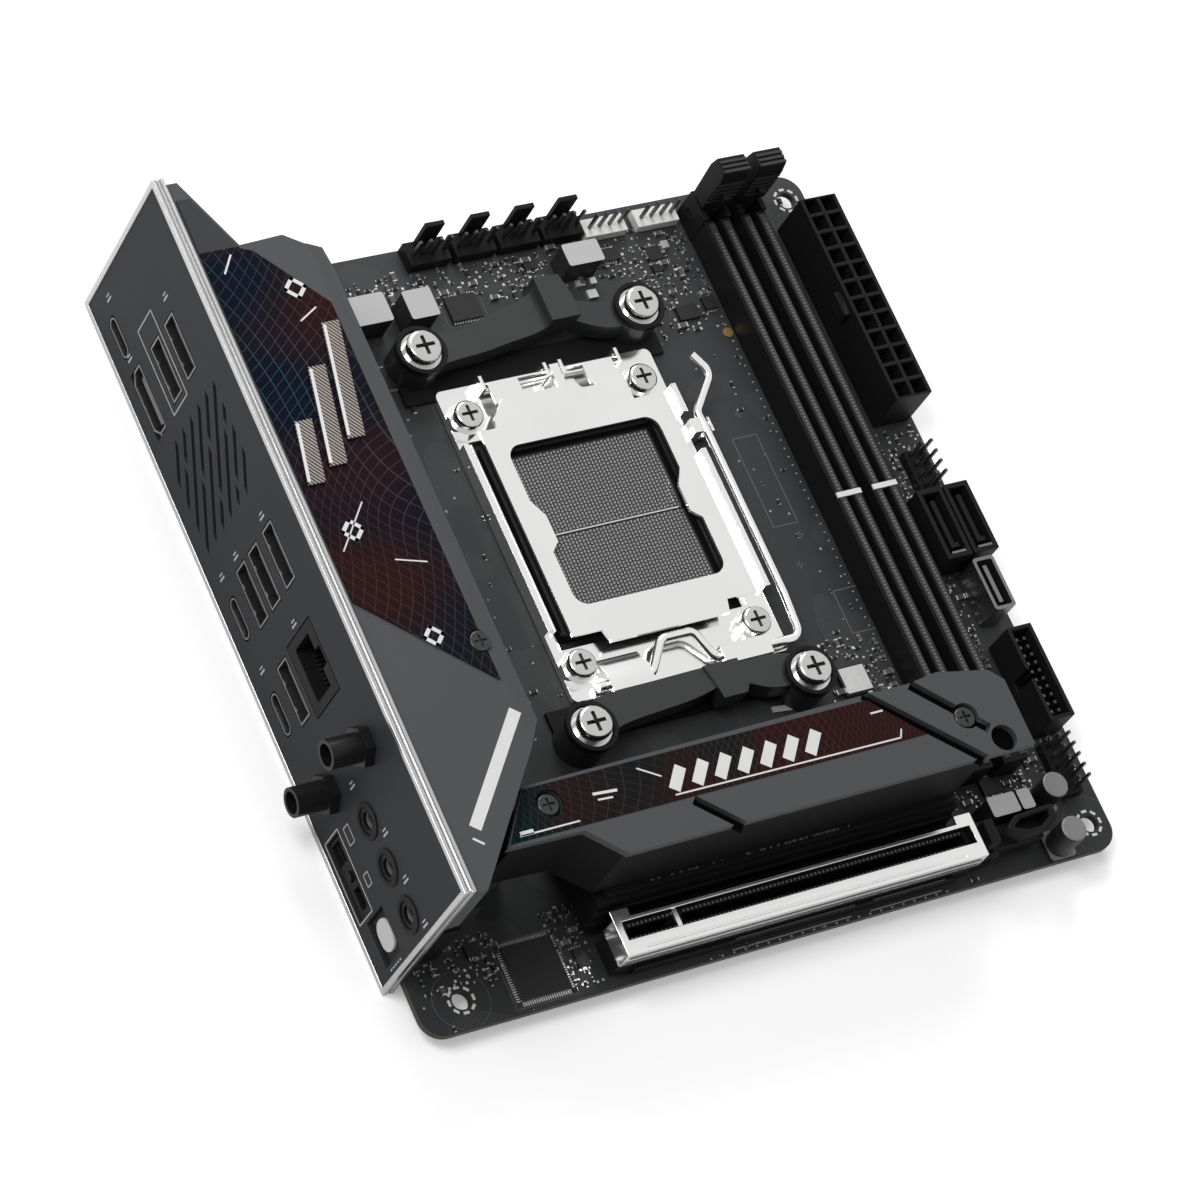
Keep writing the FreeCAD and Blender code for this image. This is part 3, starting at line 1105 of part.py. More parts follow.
def make_antenna_connectors():
    posts = []
    end = PANEL_FACE - ANTENNA_OUT
    wide, thick = ANTENNA_FLANGE
    for y, z in ANTENNA_AT:
        barrel = rod_x(end, ANTENNA_IN, y, z, ANTENNA_R)
        flange = rod_x(PANEL_X1, PANEL_X1 + thick, y, z, ANTENNA_R + wide)
        bore = rod_x(end - OVERCUT, PANEL_FACE - ANTENNA_BORE_END, y, z, ANTENNA_BORE_R)
        contact = rod_x(end + ANTENNA_PIN_SET, PANEL_FACE, y, z, ANTENNA_PIN_R)
        posts.append(fuse(cut(fuse(barrel, flange), bore), contact))
    return group(posts)


def make_antenna_nuts():
    nuts = []
    x0 = PANEL_X0 - ANTENNA_NUT_T
    for y, z in ANTENNA_AT:
        body = hexagon_x(x0, PANEL_X0, y, z, ANTENNA_NUT_R)
        nuts.append(cut(body, rod_x(x0 - OVERCUT, PANEL_X0 + OVERCUT, y, z, ANTENNA_R)))
    return group(nuts)


def make_audio_jacks():
    jacks = []
    half = JACK_BODY_W / 2
    for y, z in JACK_AT:
        barrel = rod_x(PANEL_X0, PANEL_X1 + JACK_JOIN, y, z, JACK_R)
        body = box(PANEL_X1 + JACK_JOIN / 2, PANEL_X0 + JACK_DEPTH + JACK_BACK, y - half, y + half,
                   JACK_BODY_Z0, JACK_BODY_Z1)
        bore = rod_x(PANEL_X0 - OVERCUT, PANEL_X0 + JACK_DEPTH, y, z, JACK_BORE_R)
        jacks.append(cut(fuse(barrel, body), bore))
    return group(jacks)


def make_port_block():
    """The moulded block under the jacks, which carries the small ports and both buttons."""
    face_x = PANEL_X0 + CONTROL_SET_IN
    x1 = BUTTON_CASE_D
    y, z = LARGE_PUSH_AT
    lip = box(face_x, -FIT_GAP, CONTROL_Y0, CONTROL_Y1, CONTROL_Z0, CONTROL_Z1)
    low = box(face_x, x1, CONTROL_Y0, CONTROL_Y1, 0, CONTROL_Z1)
    tall = box(BLOCK_FACE_X, x1, BLOCK_Y0, CONTROL_Y1, 0, JACK_BODY_Z0)
    frame_y0, frame_y1, frame_z0, frame_z1 = LARGE_FRAME
    case = box(LARGE_FRAME_X, x1, frame_y0, frame_y1, frame_z0, frame_z1)
    y0, y1, z0, z1 = BIG_MOUTH
    tools = [box(face_x - OVERCUT, -FIT_GAP - OVERCUT, y0, y1, z0, z1),
             box(face_x - OVERCUT, face_x + BIG_MOUTH_D, y0, y1, FIT_GAP, z1)]
    y0, y1, z0, z1 = SMALL_MOUTH
    tools.append(box(face_x - OVERCUT, face_x + SMALL_MOUTH_D, y0, y1, z0, z1))
    push_y, push_z = PUSH_AT
    tools.append(rod_x(face_x - OVERCUT, face_x + BUTTON_DEPTH, push_y, push_z, PUSH_R + PUSH_GAP))
    tools.append(pill_x(PANEL_X0 - OVERCUT, BUTTON_DEPTH + PUSH_END_GAP, y, z, LARGE_PUSH_W + 2 * PUSH_GAP,
                        LARGE_PUSH_H + 2 * PUSH_GAP, LARGE_PUSH_R + PUSH_GAP))
    return cut(fuse(low, lip, tall, case), *tools)


def make_small_button():
    y, z = PUSH_AT
    return rod_x(PANEL_X0 - PUSH_OUT, PANEL_X0 + BUTTON_DEPTH - BUTTON_TRAVEL - PUSH_END_GAP, y, z, PUSH_R)


def make_large_button():
    y, z = LARGE_PUSH_AT
    return pill_x(PANEL_X0 + LARGE_PUSH_SET_IN, BUTTON_DEPTH - BUTTON_TRAVEL, y, z, LARGE_PUSH_W,
                  LARGE_PUSH_H, LARGE_PUSH_R)


# ---- Rear cover -----------------------------------------------------------------------
def cover_outline(rear_x):
    end_y = PANEL_Y1 - FIT_GAP
    return ((rear_x, COVER_DIAGONAL[0][1]), *COVER_DIAGONAL, *COVER_END, (COVER_FIN_X, end_y),
            (rear_x, end_y))


def make_cover():
    body = prism(cover_outline(RIM_X1), COVER_SKIRT, COVER_TOP)
    far_x = COVER_EDGE_X + OVERCUT
    drop = (COVER_TOP - COVER_EDGE_Z) / (COVER_EDGE_X - COVER_BEVEL_X)
    bevel = ((COVER_BEVEL_X, COVER_TOP), (far_x, COVER_TOP - drop * (far_x - COVER_BEVEL_X)),
             (far_x, COVER_TOP + OVERCUT), (COVER_BEVEL_X, COVER_TOP + OVERCUT))
    hollow = inset(cover_outline(RIM_X1 - 2 * COVER_T), COVER_T, COVER_SKIRT - OVERCUT, COVER_TOP - COVER_T)
    bevel_in = tuple((x, z - COVER_T) for x, z in bevel)
    end_y = PANEL_Y1 + OVERCUT
    hollow = cut(hollow, prism_y(bevel_in, 0, end_y))
    x, y = COVER_SCREW
    top = COVER_TOP + OVERCUT
    hole = rod(x, y, COVER_TOP - COVER_T - OVERCUT, top, COVER_SCREW_SHANK_R + FIT_GAP)
    seat = rod(x, y, COVER_TOP - COVER_SCREW_SINK, top, COVER_SCREW_R + FIT_GAP)
    return cut(body, prism_y(bevel, 0, end_y), hollow, hole, seat)


def make_art_panel():
    x, y = COVER_SCREW
    sheet = prism((*ART_CUT_NEAR, *ART_CUT_FAR), COVER_TOP, COVER_TOP + ART_T)
    return cut(sheet, rod(x, y, COVER_TOP - OVERCUT, COVER_TOP + OVERCUT, COVER_SCREW_R + FIT_GAP))


def make_emblem():
    """Three slanted metal bars, stuck on the art panel."""
    z0 = COVER_TOP + ART_T
    bars = []
    for x, y, length in EMBLEM_BARS:
        shift = length * EMBLEM_SLANT
        bars.append(prism(((x, y), (x + EMBLEM_BAR_W, y), (x + EMBLEM_BAR_W + shift, y + length),
                           (x + shift, y + length)), z0, z0 + EMBLEM_T))
    return group(bars)


def make_cover_screw():
    x, y = COVER_SCREW
    return screw(x, y, COVER_TOP - COVER_SCREW_SINK, COVER_SCREW_R, COVER_SCREW_HEAD,
                 COVER_SCREW_SHANK_R, COVER_TOP - COVER_SCREW_L)


def make_heatsink():
    base = box(SINK_X0, SINK_X1, SINK_Y0, SINK_Y1, SINK_Z0, SINK_LOW_TOP)
    tower = box(SINK_X0, SINK_HIGH_X, SINK_Y0, SINK_Y1, SINK_Z0, COVER_EDGE_Z - COVER_T - FIT_GAP)
    gaps = []
    y = SINK_Y0 + SINK_FIN_PITCH
    while y < SINK_Y1 - SINK_FIN_PITCH:
        gaps.append(box(SINK_HIGH_X + OVERCUT, SINK_X1 + OVERCUT, y, y + SINK_FIN_GAP, SINK_BASE_H,
                        SINK_LOW_TOP + OVERCUT))
        y += SINK_FIN_PITCH
    x, y = COVER_SCREW
    bore = rod(x, y, COVER_TOP - COVER_SCREW_L - OVERCUT, COVER_TOP, COVER_SCREW_SHANK_R + RUN_GAP)
    return cut(fuse(base, tower), *gaps, bore)


def make_power_stages():
    chips = []
    x1 = SINK_X1 - STAGE_IN[0]
    y = SINK_Y0 + STAGE_IN[1]
    while y < SINK_Y1 - STAGE_SIZE:
        chips.append(box(x1 - STAGE_SIZE, x1, y, y + STAGE_SIZE, 0, STAGE_H))
        y += HIDDEN_CHOKE_PITCH
    return group(chips)


def make_thermal_pad():
    return box(SINK_X0 + PAD_IN[0], SINK_X1 - PAD_IN[0], SINK_Y0 + PAD_IN[1], SINK_Y1 - PAD_IN[1],
               STAGE_H, SINK_Z0)


# ---- Drive tower ------------------------------------------------------------------------
def make_tower_plate():
    sheet = prism(TOWER_OUTLINE, TOWER_TOP - TOWER_PLATE_T, TOWER_TOP)
    pocket = prism(TOWER_STRIP, TOWER_TOP - STRIP_T, TOWER_TOP + OVERCUT)
    holes = [rod(x, y, 0, TOWER_TOP + OVERCUT, TOWER_HOLE_R)
             for x, y in (TOWER_SCREW_LEFT, TOWER_SCREW_RIGHT)]
    return cut(sheet, pocket, *holes)


def make_tower_strip():
    strip = prism(TOWER_STRIP, TOWER_TOP - STRIP_T, TOWER_TOP + STRIP_PROUD)
    x, y = TOWER_SCREW_LEFT
    return cut(strip, rod(x, y, 0, TOWER_TOP + OVERCUT, TOWER_HOLE_R))


def make_tower_body():
    body = prism(TOWER_BODY, TOWER_BODY_Z, TOWER_TOP - TOWER_PLATE_T)
    tools = []
    for x, y in (TOWER_SCREW_LEFT, TOWER_SCREW_RIGHT):
        tools.append(rod(x, y, 0, TOWER_TOP, TOWER_SHANK_R + RUN_GAP))
    return cut(body, *tools)


def make_tower_base():
    steps = [box(TIER_X0, TIER_X1, y0, TIER_Y1, z0, z1) for y0, z1, z0 in TIERS]
    x, y = TOWER_SCREW_RIGHT
    return cut(fuse(*steps), rod(x, y, 0, TOWER_TOP, TOWER_SHANK_R + RUN_GAP))


def make_riser_board():
    sheet = box(RISER_X0, RISER_X1, RISER_Y0, RISER_Y1, TOWER_RISER_Z, TOWER_BODY_Z)
    x, y = TOWER_SCREW_RIGHT
    return cut(sheet, rod(x, y, 0, TOWER_TOP, TOWER_SHANK_R + RUN_GAP))


def make_tower_screws():
    seat = TOWER_TOP - TOWER_PLATE_T
    screws = []
    for (x, y), tip in zip((TOWER_SCREW_LEFT, TOWER_SCREW_RIGHT), TOWER_SCREW_TIPS):
        screws.append(screw(x, y, seat, TOWER_HEAD_R, TOWER_HEAD_H, TOWER_SHANK_R, tip))
    return group(screws)


def make_tower_standoffs():
    posts = []
    for (x, y), top in ((TOWER_SCREW_LEFT, TOWER_BODY_Z), (TOWER_SCREW_RIGHT, TOWER_LOW_Z)):
        bore = rod(x, y, STANDOFF_FLOOR, top + OVERCUT, TOWER_SHANK_R + RUN_GAP)
        posts.append(cut(rod(x, y, 0, top, STANDOFF_R), bore))
    return group(posts)


def make_drive_socket():
    x0, x1, y0, y1 = DRIVE_SOCKET
    mouth_x0, mouth_y0, mouth_y1, z0, z1 = DRIVE_MOUTH
    return cut(box(x0, x1, y0, y1, 0, TOWER_LOW_Z), box(mouth_x0, x1 + OVERCUT, mouth_y0, mouth_y1, z0, z1))


def make_chipset():
    x, y = CHIPSET_AT
    half = CHIPSET_SIZE / 2
    die = CHIPSET_DIE / 2
    carrier = box(x - half, x + half, y - half, y + half, 0, CHIPSET_H)
    return fuse(carrier, box(x - die, x + die, y - die, y + die, 0, TOWER_LOW_Z))


# ---- Connectors on the board ---------------------------------------------------------------
def cell_block(x0, y0, columns, rows):
    """A power connector with a square cell for each contact."""
    body = box(x0, x0 + columns * CELL_PITCH + 2 * POWER_WALL, y0, y0 + rows * CELL_PITCH, 0, POWER_H)
    half = CELL_W / 2
    cells = []
    for column in range(columns):
        for row in range(rows):
            x = x0 + POWER_WALL + CELL_PITCH * (column + 0.5)
            y = y0 + CELL_PITCH * (row + 0.5)
            cells.append(box(x - half, x + half, y - half, y + half, POWER_H - CELL_D, POWER_H + OVERCUT))
    return cut(body, *cells)


def make_main_power():
    block = cell_block(MAIN_POWER_X0, MAIN_POWER_Y0, 2, MAIN_POWER_ROWS)
    mid = MAIN_POWER_Y0 + MAIN_POWER_ROWS * CELL_PITCH / 2
    out, long, tall = CATCH_SIZE
    top = POWER_H - CATCH_DROP
    catch = box(MAIN_POWER_X0 - out, MAIN_POWER_X0, mid - long / 2, mid + long / 2, top - tall, top)
    return fuse(block, catch)


def make_cpu_power():
    y0 = BOARD_Y - CPU_POWER_IN - 2 * CELL_PITCH
    return cell_block(CPU_POWER_X0, y0, CPU_POWER_COLUMNS, 2)


def make_fan_headers():
    headers = []
    far_y = FAN_Y0 + FAN_D
    for x in FAN_X:
        base = box(x - FAN_W / 2, x + FAN_W / 2, FAN_Y0, far_y, 0, FAN_BASE_H)
        tab = box(x - FAN_TAB_W / 2, x + FAN_TAB_W / 2, far_y - FAN_TAB_T, far_y, 0, FAN_TAB_H)
        headers.append(fuse(base, tab))
    return group(headers)


def make_light_headers():
    headers = []
    for x in LIGHT_X:
        headers.append(box(x - LIGHT_W / 2, x + LIGHT_W / 2, LIGHT_Y - LIGHT_D / 2,
                           LIGHT_Y + LIGHT_D / 2, 0, LIGHT_BASE_H))
    return group(headers)


def pin_grid(x0, y0, columns, rows, z0, z1, pitch=PIN_PITCH):
    half = PIN_W / 2
    pins = []
    for column in range(columns):
        for row in range(rows):
            x = x0 + pitch * column
            y = y0 + pitch * row
            pins.append(box(x - half, x + half, y - half, y + half, z0, z1))
    return pins


def make_header_pins():
    pins = []
    first = (FAN_PINS - 1) * PIN_PITCH / 2
    for x in FAN_X:
        pins += pin_grid(x - first, FAN_Y0 + FAN_PIN_IN, FAN_PINS, 1, FAN_BASE_H, PIN_TOP)
    for x in LIGHT_X:
        pins += pin_grid(x - first, LIGHT_Y, FAN_PINS, 1, LIGHT_BASE_H, LIGHT_PIN_TOP)
    pins += pin_grid(*PANEL_PINS, 2, PANEL_PIN_ROWS, HEADER_BASE_H, PIN_TOP)
    pins += pin_grid(*EDGE_PINS, 2, EDGE_PIN_ROWS, HEADER_BASE_H, PIN_TOP)
    first_x = (USB3_X[0] + USB3_X[1] - USB3_PIN_PITCH) / 2
    pins += pin_grid(first_x, USB3_Y0 + USB3_PIN_IN, 2, USB3_PIN_ROWS, USB3_FLOOR,
                     USB3_H - USB3_PIN_DROP, USB3_PIN_PITCH)
    return group(pins)


def strip_base(at, columns, rows):
    x, y = at
    edge = PIN_PITCH / 2
    return box(x - edge, x + edge + PIN_PITCH * (columns - 1), y - edge,
               y + edge + PIN_PITCH * (rows - 1), 0, HEADER_BASE_H)


def make_panel_header():
    return strip_base(PANEL_PINS, 2, PANEL_PIN_ROWS)


def make_edge_header():
    return strip_base(EDGE_PINS, 2, EDGE_PIN_ROWS)


def make_sata_ports():
    wall_x, wall_y = SATA_WALL
    thick, tongue_in = SATA_TONGUE
    key_wide, key_long = SATA_KEY
    y0 = SATA_Y0
    y1 = SATA_Y0 + SATA_L
    tongue_y0 = y0 + wall_y + tongue_in
    top = SATA_H - SATA_TONGUE_DROP
    ports = []
    for x in SATA_X:
        body = box(x, x + SATA_W, y0, y1, 0, SATA_H)
        well = box(x + wall_x, x + SATA_W - wall_x, y0 + wall_y, y1 - wall_y, SATA_FLOOR, SATA_H + OVERCUT)
        mid = x + SATA_W / 2
        tongue = box(mid - thick / 2, mid + thick / 2, tongue_y0, y1 - wall_y - tongue_in, 0, top)
        key = box(mid, mid + key_wide, tongue_y0, tongue_y0 + key_long, 0, top)
        ports.append(fuse(cut(body, well), tongue, key))
    return group(ports)


def make_front_usb_c():
    x0, x1 = USB_FRONT_X
    y0 = USB_FRONT_Y0
    y1 = y0 + USB_FRONT_L
    wall = USB_FRONT_WALL
    shell = round_box(x0, x1, y0, y1, 0, USB_FRONT_H, USB_FRONT_R[0])
    well = round_box(x0 + wall, x1 - wall, y0 + wall, y1 - wall, USB_FRONT_FLOOR,
                     USB_FRONT_H + OVERCUT, USB_FRONT_R[1])
    thick, side, drop = USB_FRONT_TONGUE
    mid = (x0 + x1) / 2
    tongue = box(mid - thick / 2, mid + thick / 2, y0 + side, y1 - side, 0, USB_FRONT_H - drop)
    return fuse(cut(shell, well), tongue)


def make_usb3_header():
    x0, x1 = USB3_X
    y0 = USB3_Y0
    y1 = y0 + USB3_L
    body = box(x0, x1, y0, y1, 0, USB3_H)
    well = box(x0 + USB3_WALL, x1 - USB3_WALL, y0 + USB3_WALL, y1 - USB3_WALL, USB3_FLOOR,
               USB3_H + OVERCUT)
    mid = (y0 + y1) / 2
    wide, low = USB3_KEY
    key = box(x0 - OVERCUT, (x0 + x1) / 2, mid - wide / 2, mid + wide / 2, low, USB3_H + OVERCUT)
    return cut(body, well, key)


def choke(x, y, wide, deep):
    return round_box(x - wide / 2, x + wide / 2, y - deep / 2, y + deep / 2, 0, CHOKE_H, CHOKE_R)


def make_chokes():
    chokes = [choke(*place) for place in CHOKES + SMALL_CHOKES]
    for k in range(HIDDEN_CHOKE_COUNT):
        chokes.append(choke(HIDDEN_CHOKE_X, HIDDEN_CHOKE_Y0 + HIDDEN_CHOKE_PITCH * k,
                            HIDDEN_CHOKE_SIZE, HIDDEN_CHOKE_SIZE))
    return group(chokes)


def make_capacitors():
    cans = []
    half = CAP_R + CAP_FOOT_OUT
    for x, y in CAPACITORS:
        foot = round_box(x - half, x + half, y - half, y + half, 0, CAP_BASE_H, CAP_FOOT_R)
        can = rounded_top(rod(x, y, CAP_BASE_H, CAP_H, CAP_R), CAP_H, CAP_ROUND)
        cans.append(fuse(foot, can))
    return group(cans)


def make_chips():
    chips = []
    for x, y, wide, deep, height in CHIPS:
        chips.append(box(x - wide / 2, x + wide / 2, y - deep / 2, y + deep / 2, 0, height))
    return group(chips)


# ---- Export --------------------------------------------------------------------------------
ORIGIN_SHIFT = V(-HOLE_REAR_X, -HOLE_NEAR_Y, BOARD_T)


def save(name, shape):
    placed = shape.copy()
    placed.translate(ORIGIN_SHIFT)
    placed.exportStep("parts/" + name + ".step")


os.makedirs("parts", exist_ok=True)
save("board", make_board())
save("socket_backplate", make_backplate())
save("socket_housing", make_housing())
save("socket_contacts", make_contacts())
save("socket_frame", make_frame())
save("frame_screws", make_frame_screws())
save("load_plate", make_load_plate())
save("load_lever", make_lever())
save("upper_cooler_bracket", bracket(FAR_ROW, ((FAR_LEFT_UPPER, FAR_LEFT_LOWER),
                                              (FAR_RIGHT_UPPER, FAR_RIGHT_LOWER)), FAR_HOOK, HOOK_TOP))
save("lower_cooler_bracket", bracket(NEAR_ROW, ((NEAR_LEFT_UPPER, NEAR_LEFT_LOWER),
                                               (NEAR_RIGHT_UPPER, NEAR_RIGHT_LOWER)),
                                     NEAR_HOOK, NEAR_HOOK_TOP))
save("bracket_screws", make_bracket_screws())
for number, slot_x in enumerate(DIMM_X, start=1):
    save("memory_slot_%d" % number, make_dimm_slot(slot_x))
    save("memory_latch_%d" % number, make_dimm_latch(slot_x))
save("expansion_slot", make_pcie_slot())
save("expansion_slot_shell", make_pcie_shell())
save("expansion_latch", make_pcie_latch())
save("rear_panel", make_panel())
save("rear_panel_rim", make_rim())
save("usb_a_shells", make_usb_a_shells())
save("usb_a_bodies", make_usb_a_bodies())
save("usb_c_ports", make_usb_c_ports())
save("video_port", make_hdmi_port())
save("network_port", make_lan_port())
save("antenna_connectors", make_antenna_connectors())
save("antenna_nuts", make_antenna_nuts())
save("audio_jacks", make_audio_jacks())
save("port_block", make_port_block())
save("small_button", make_small_button())
save("large_button", make_large_button())
save("rear_cover", make_cover())
save("cover_art_panel", make_art_panel())
save("cover_emblem", make_emblem())
save("cover_screw", make_cover_screw())
save("power_heatsink", make_heatsink())
save("power_stages", make_power_stages())
save("thermal_pad", make_thermal_pad())
save("tower_top_plate", make_tower_plate())
save("tower_art_strip", make_tower_strip())
save("tower_heatsink", make_tower_body())
save("tower_base", make_tower_base())
save("riser_board", make_riser_board())
save("tower_screws", make_tower_screws())
save("tower_standoffs", make_tower_standoffs())
save("drive_socket", make_drive_socket())
save("chipset", make_chipset())
save("main_power_connector", make_main_power())
save("processor_power_connector", make_cpu_power())
save("fan_headers", make_fan_headers())
save("light_headers", make_light_headers())
save("header_pins", make_header_pins())
save("front_panel_header", make_panel_header())
save("edge_header", make_edge_header())
save("storage_ports", make_sata_ports())
save("front_usb_c_header", make_front_usb_c())
save("front_usb_header", make_usb3_header())
save("chokes", make_chokes())
save("capacitors", make_capacitors())
save("control_chips", make_chips())
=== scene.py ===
import json
import math
import random

import bmesh
import bpy
from mathutils import Euler, Matrix, Vector


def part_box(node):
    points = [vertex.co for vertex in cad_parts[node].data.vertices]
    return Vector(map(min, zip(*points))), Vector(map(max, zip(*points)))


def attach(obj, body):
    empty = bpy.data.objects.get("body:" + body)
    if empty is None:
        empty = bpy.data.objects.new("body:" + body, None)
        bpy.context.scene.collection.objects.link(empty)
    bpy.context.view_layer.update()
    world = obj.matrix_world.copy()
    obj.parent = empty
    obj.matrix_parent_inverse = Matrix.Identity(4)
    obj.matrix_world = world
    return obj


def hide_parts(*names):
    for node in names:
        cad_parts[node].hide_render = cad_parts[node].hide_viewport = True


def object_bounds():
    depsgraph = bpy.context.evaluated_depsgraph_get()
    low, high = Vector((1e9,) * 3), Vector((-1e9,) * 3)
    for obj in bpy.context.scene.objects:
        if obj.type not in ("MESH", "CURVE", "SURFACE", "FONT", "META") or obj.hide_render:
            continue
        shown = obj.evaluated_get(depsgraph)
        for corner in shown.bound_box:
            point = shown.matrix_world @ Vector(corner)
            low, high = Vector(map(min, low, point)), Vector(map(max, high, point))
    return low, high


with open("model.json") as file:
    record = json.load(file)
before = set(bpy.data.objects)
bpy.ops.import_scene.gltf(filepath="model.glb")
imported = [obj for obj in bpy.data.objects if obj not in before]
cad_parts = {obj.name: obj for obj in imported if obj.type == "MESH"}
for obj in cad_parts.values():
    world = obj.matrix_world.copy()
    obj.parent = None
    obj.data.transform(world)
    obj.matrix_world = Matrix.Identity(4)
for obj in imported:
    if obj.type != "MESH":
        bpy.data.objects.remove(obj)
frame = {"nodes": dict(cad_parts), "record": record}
cad_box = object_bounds()
FIXED = "board_assembly"
MM = 0.001

# ---- Studio: camera, surround and lamps ------------------------------------------
# Soft, even light from two round lamps and a white surround. The surround shows at full
# strength to the camera and in reflections, and lights matt surfaces more faintly.
CAMERA_PLACE = (-0.45403, -0.25918, 0.84630)
CAMERA_TURN = (30.0268, -21.3632, -25.1079)
CAMERA_LENS = 151.365
SKY_LIGHT = 0.42


def placed(name, data):
    """A new object in the scene."""
    thing = bpy.data.objects.new(name, data)
    bpy.context.scene.collection.objects.link(thing)
    return thing


camera_data = bpy.data.cameras.new("camera")
camera_data.lens = CAMERA_LENS
camera_data.sensor_width = 36.0
camera_data.clip_end = 20.0
camera = placed("camera", camera_data)
camera.location = CAMERA_PLACE
camera.rotation_euler = [math.radians(angle) for angle in CAMERA_TURN]
bpy.context.scene.camera = camera
bpy.context.scene.view_settings.view_transform = "Standard"


def seen_direct(tree):
    """One where a ray comes straight from the camera, off a mirror or through glass, else zero."""
    path = tree.nodes.new("ShaderNodeLightPath")
    share = path.outputs["Is Camera Ray"]
    for label in ("Is Glossy Ray", "Is Transmission Ray"):
        either = tree.nodes.new("ShaderNodeMath")
        either.operation = "MAXIMUM"
        tree.links.new(share, either.inputs[0])
        tree.links.new(path.outputs[label], either.inputs[1])
        share = either.outputs[0]
    return share


world = bpy.data.worlds.new("studio")
world.use_nodes = True
bpy.context.scene.world = world
tree = world.node_tree
soft = tree.nodes["Background"]
soft.inputs["Color"].default_value = (1.0, 1.0, 1.0, 1.0)
soft.inputs["Strength"].default_value = SKY_LIGHT
bright = tree.nodes.new("ShaderNodeBackground")
bright.inputs["Strength"].default_value = 1.0
choose = tree.nodes.new("ShaderNodeMixShader")
tree.links.new(seen_direct(tree), choose.inputs["Fac"])
tree.links.new(soft.outputs[0], choose.inputs[1])
tree.links.new(bright.outputs[0], choose.inputs[2])
tree.links.new(choose.outputs[0], tree.nodes["World Output"].inputs["Surface"])


def softbox(name, place, target, size, power):
    """A round lamp turned to its target."""
    data = bpy.data.lights.new(name, "AREA")
    data.shape = "DISK"
    data.size = size
    data.energy = power
    lamp = placed(name, data)
    lamp.location = place
    lamp.rotation_euler = (Vector(target) - Vector(place)).to_track_quat("-Z", "Y").to_euler()


middle = (cad_box[0] + cad_box[1]) / 2
softbox("key_light", (-0.55, 0.25, 0.95), middle, 0.5, 6.5)
softbox("far_light", (0.20, 0.95, 0.70), middle, 0.6, 7.0)

# ---- Circuit board -------------------------------------------------------------
# A glass-fibre board under a black solder mask, with copper runs showing as faint paler
# lines and plated rings round its holes. Everything else is soldered or screwed to it.
board_low, board_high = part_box("board")
BOARD_SIDE = 170.0


def at(x, y, z=0.0):
    """A point given in millimetres from the board's rear near corner and its top face."""
    return Vector((board_low.x + x * MM, board_low.y + y * MM, board_high.z + z * MM))


def node_group(name, inputs, outputs):
    group = bpy.data.node_groups.new(name, "ShaderNodeTree")
    for label, kind, value in inputs:
        socket = group.interface.new_socket(label, in_out="INPUT", socket_type=kind)
        if value is not None:
            socket.default_value = value
    for label, kind in outputs:
        group.interface.new_socket(label, in_out="OUTPUT", socket_type=kind)
    return group, group.nodes.new("NodeGroupInput"), group.nodes.new("NodeGroupOutput")


def maths(group, operation, *values):
    """A Math node; each value is a number or another node's output."""
    node = group.nodes.new("ShaderNodeMath")
    node.operation = operation
    for socket, value in zip(node.inputs, values):
        if isinstance(value, (int, float)):
            socket.default_value = value
        else:
            group.links.new(value, socket)
    return node.outputs[0]


def noise(group, vector, scale, detail=2.0):
    node = group.nodes.new("ShaderNodeTexNoise")
    node.inputs["Detail"].default_value = detail
    group.links.new(vector, node.inputs["Vector"])
    if isinstance(scale, (int, float)):
        node.inputs["Scale"].default_value = scale
    else:
        group.links.new(scale, node.inputs["Scale"])
    return node.outputs["Fac"]


def mixed(group, share, first, second):
    """A colour mix; each colour is a tuple or another node's output."""
    node = group.nodes.new("ShaderNodeMix")
    node.data_type = "RGBA"
    group.links.new(share, node.inputs["Factor"])
    for label, value in (("A", first), ("B", second)):
        socket = [item for item in node.inputs if item.name == label and item.type == "RGBA"][0]
        if isinstance(value, tuple):
            socket.default_value = (*value, 1.0)
        else:
            group.links.new(value, socket)
    return [item for item in node.outputs if item.type == "RGBA"][0]


def split(group, vector):
    """The X, Y and Z of a vector."""
    node = group.nodes.new("ShaderNodeSeparateXYZ")
    group.links.new(vector, node.inputs[0])
    return node.outputs


def ramp(group, value, low, high, start=0.0, end=1.0):
    """start below low, end above high, and a straight run between; low and high may be outputs."""
    node = group.nodes.new("ShaderNodeMapRange")
    group.links.new(value, node.inputs["Value"])
    for label, amount in (("From Min", low), ("From Max", high), ("To Min", start), ("To Max", end)):
        if isinstance(amount, (int, float)):
            node.inputs[label].default_value = amount
        else:
            group.links.new(amount, node.inputs[label])
    return node.outputs[0]


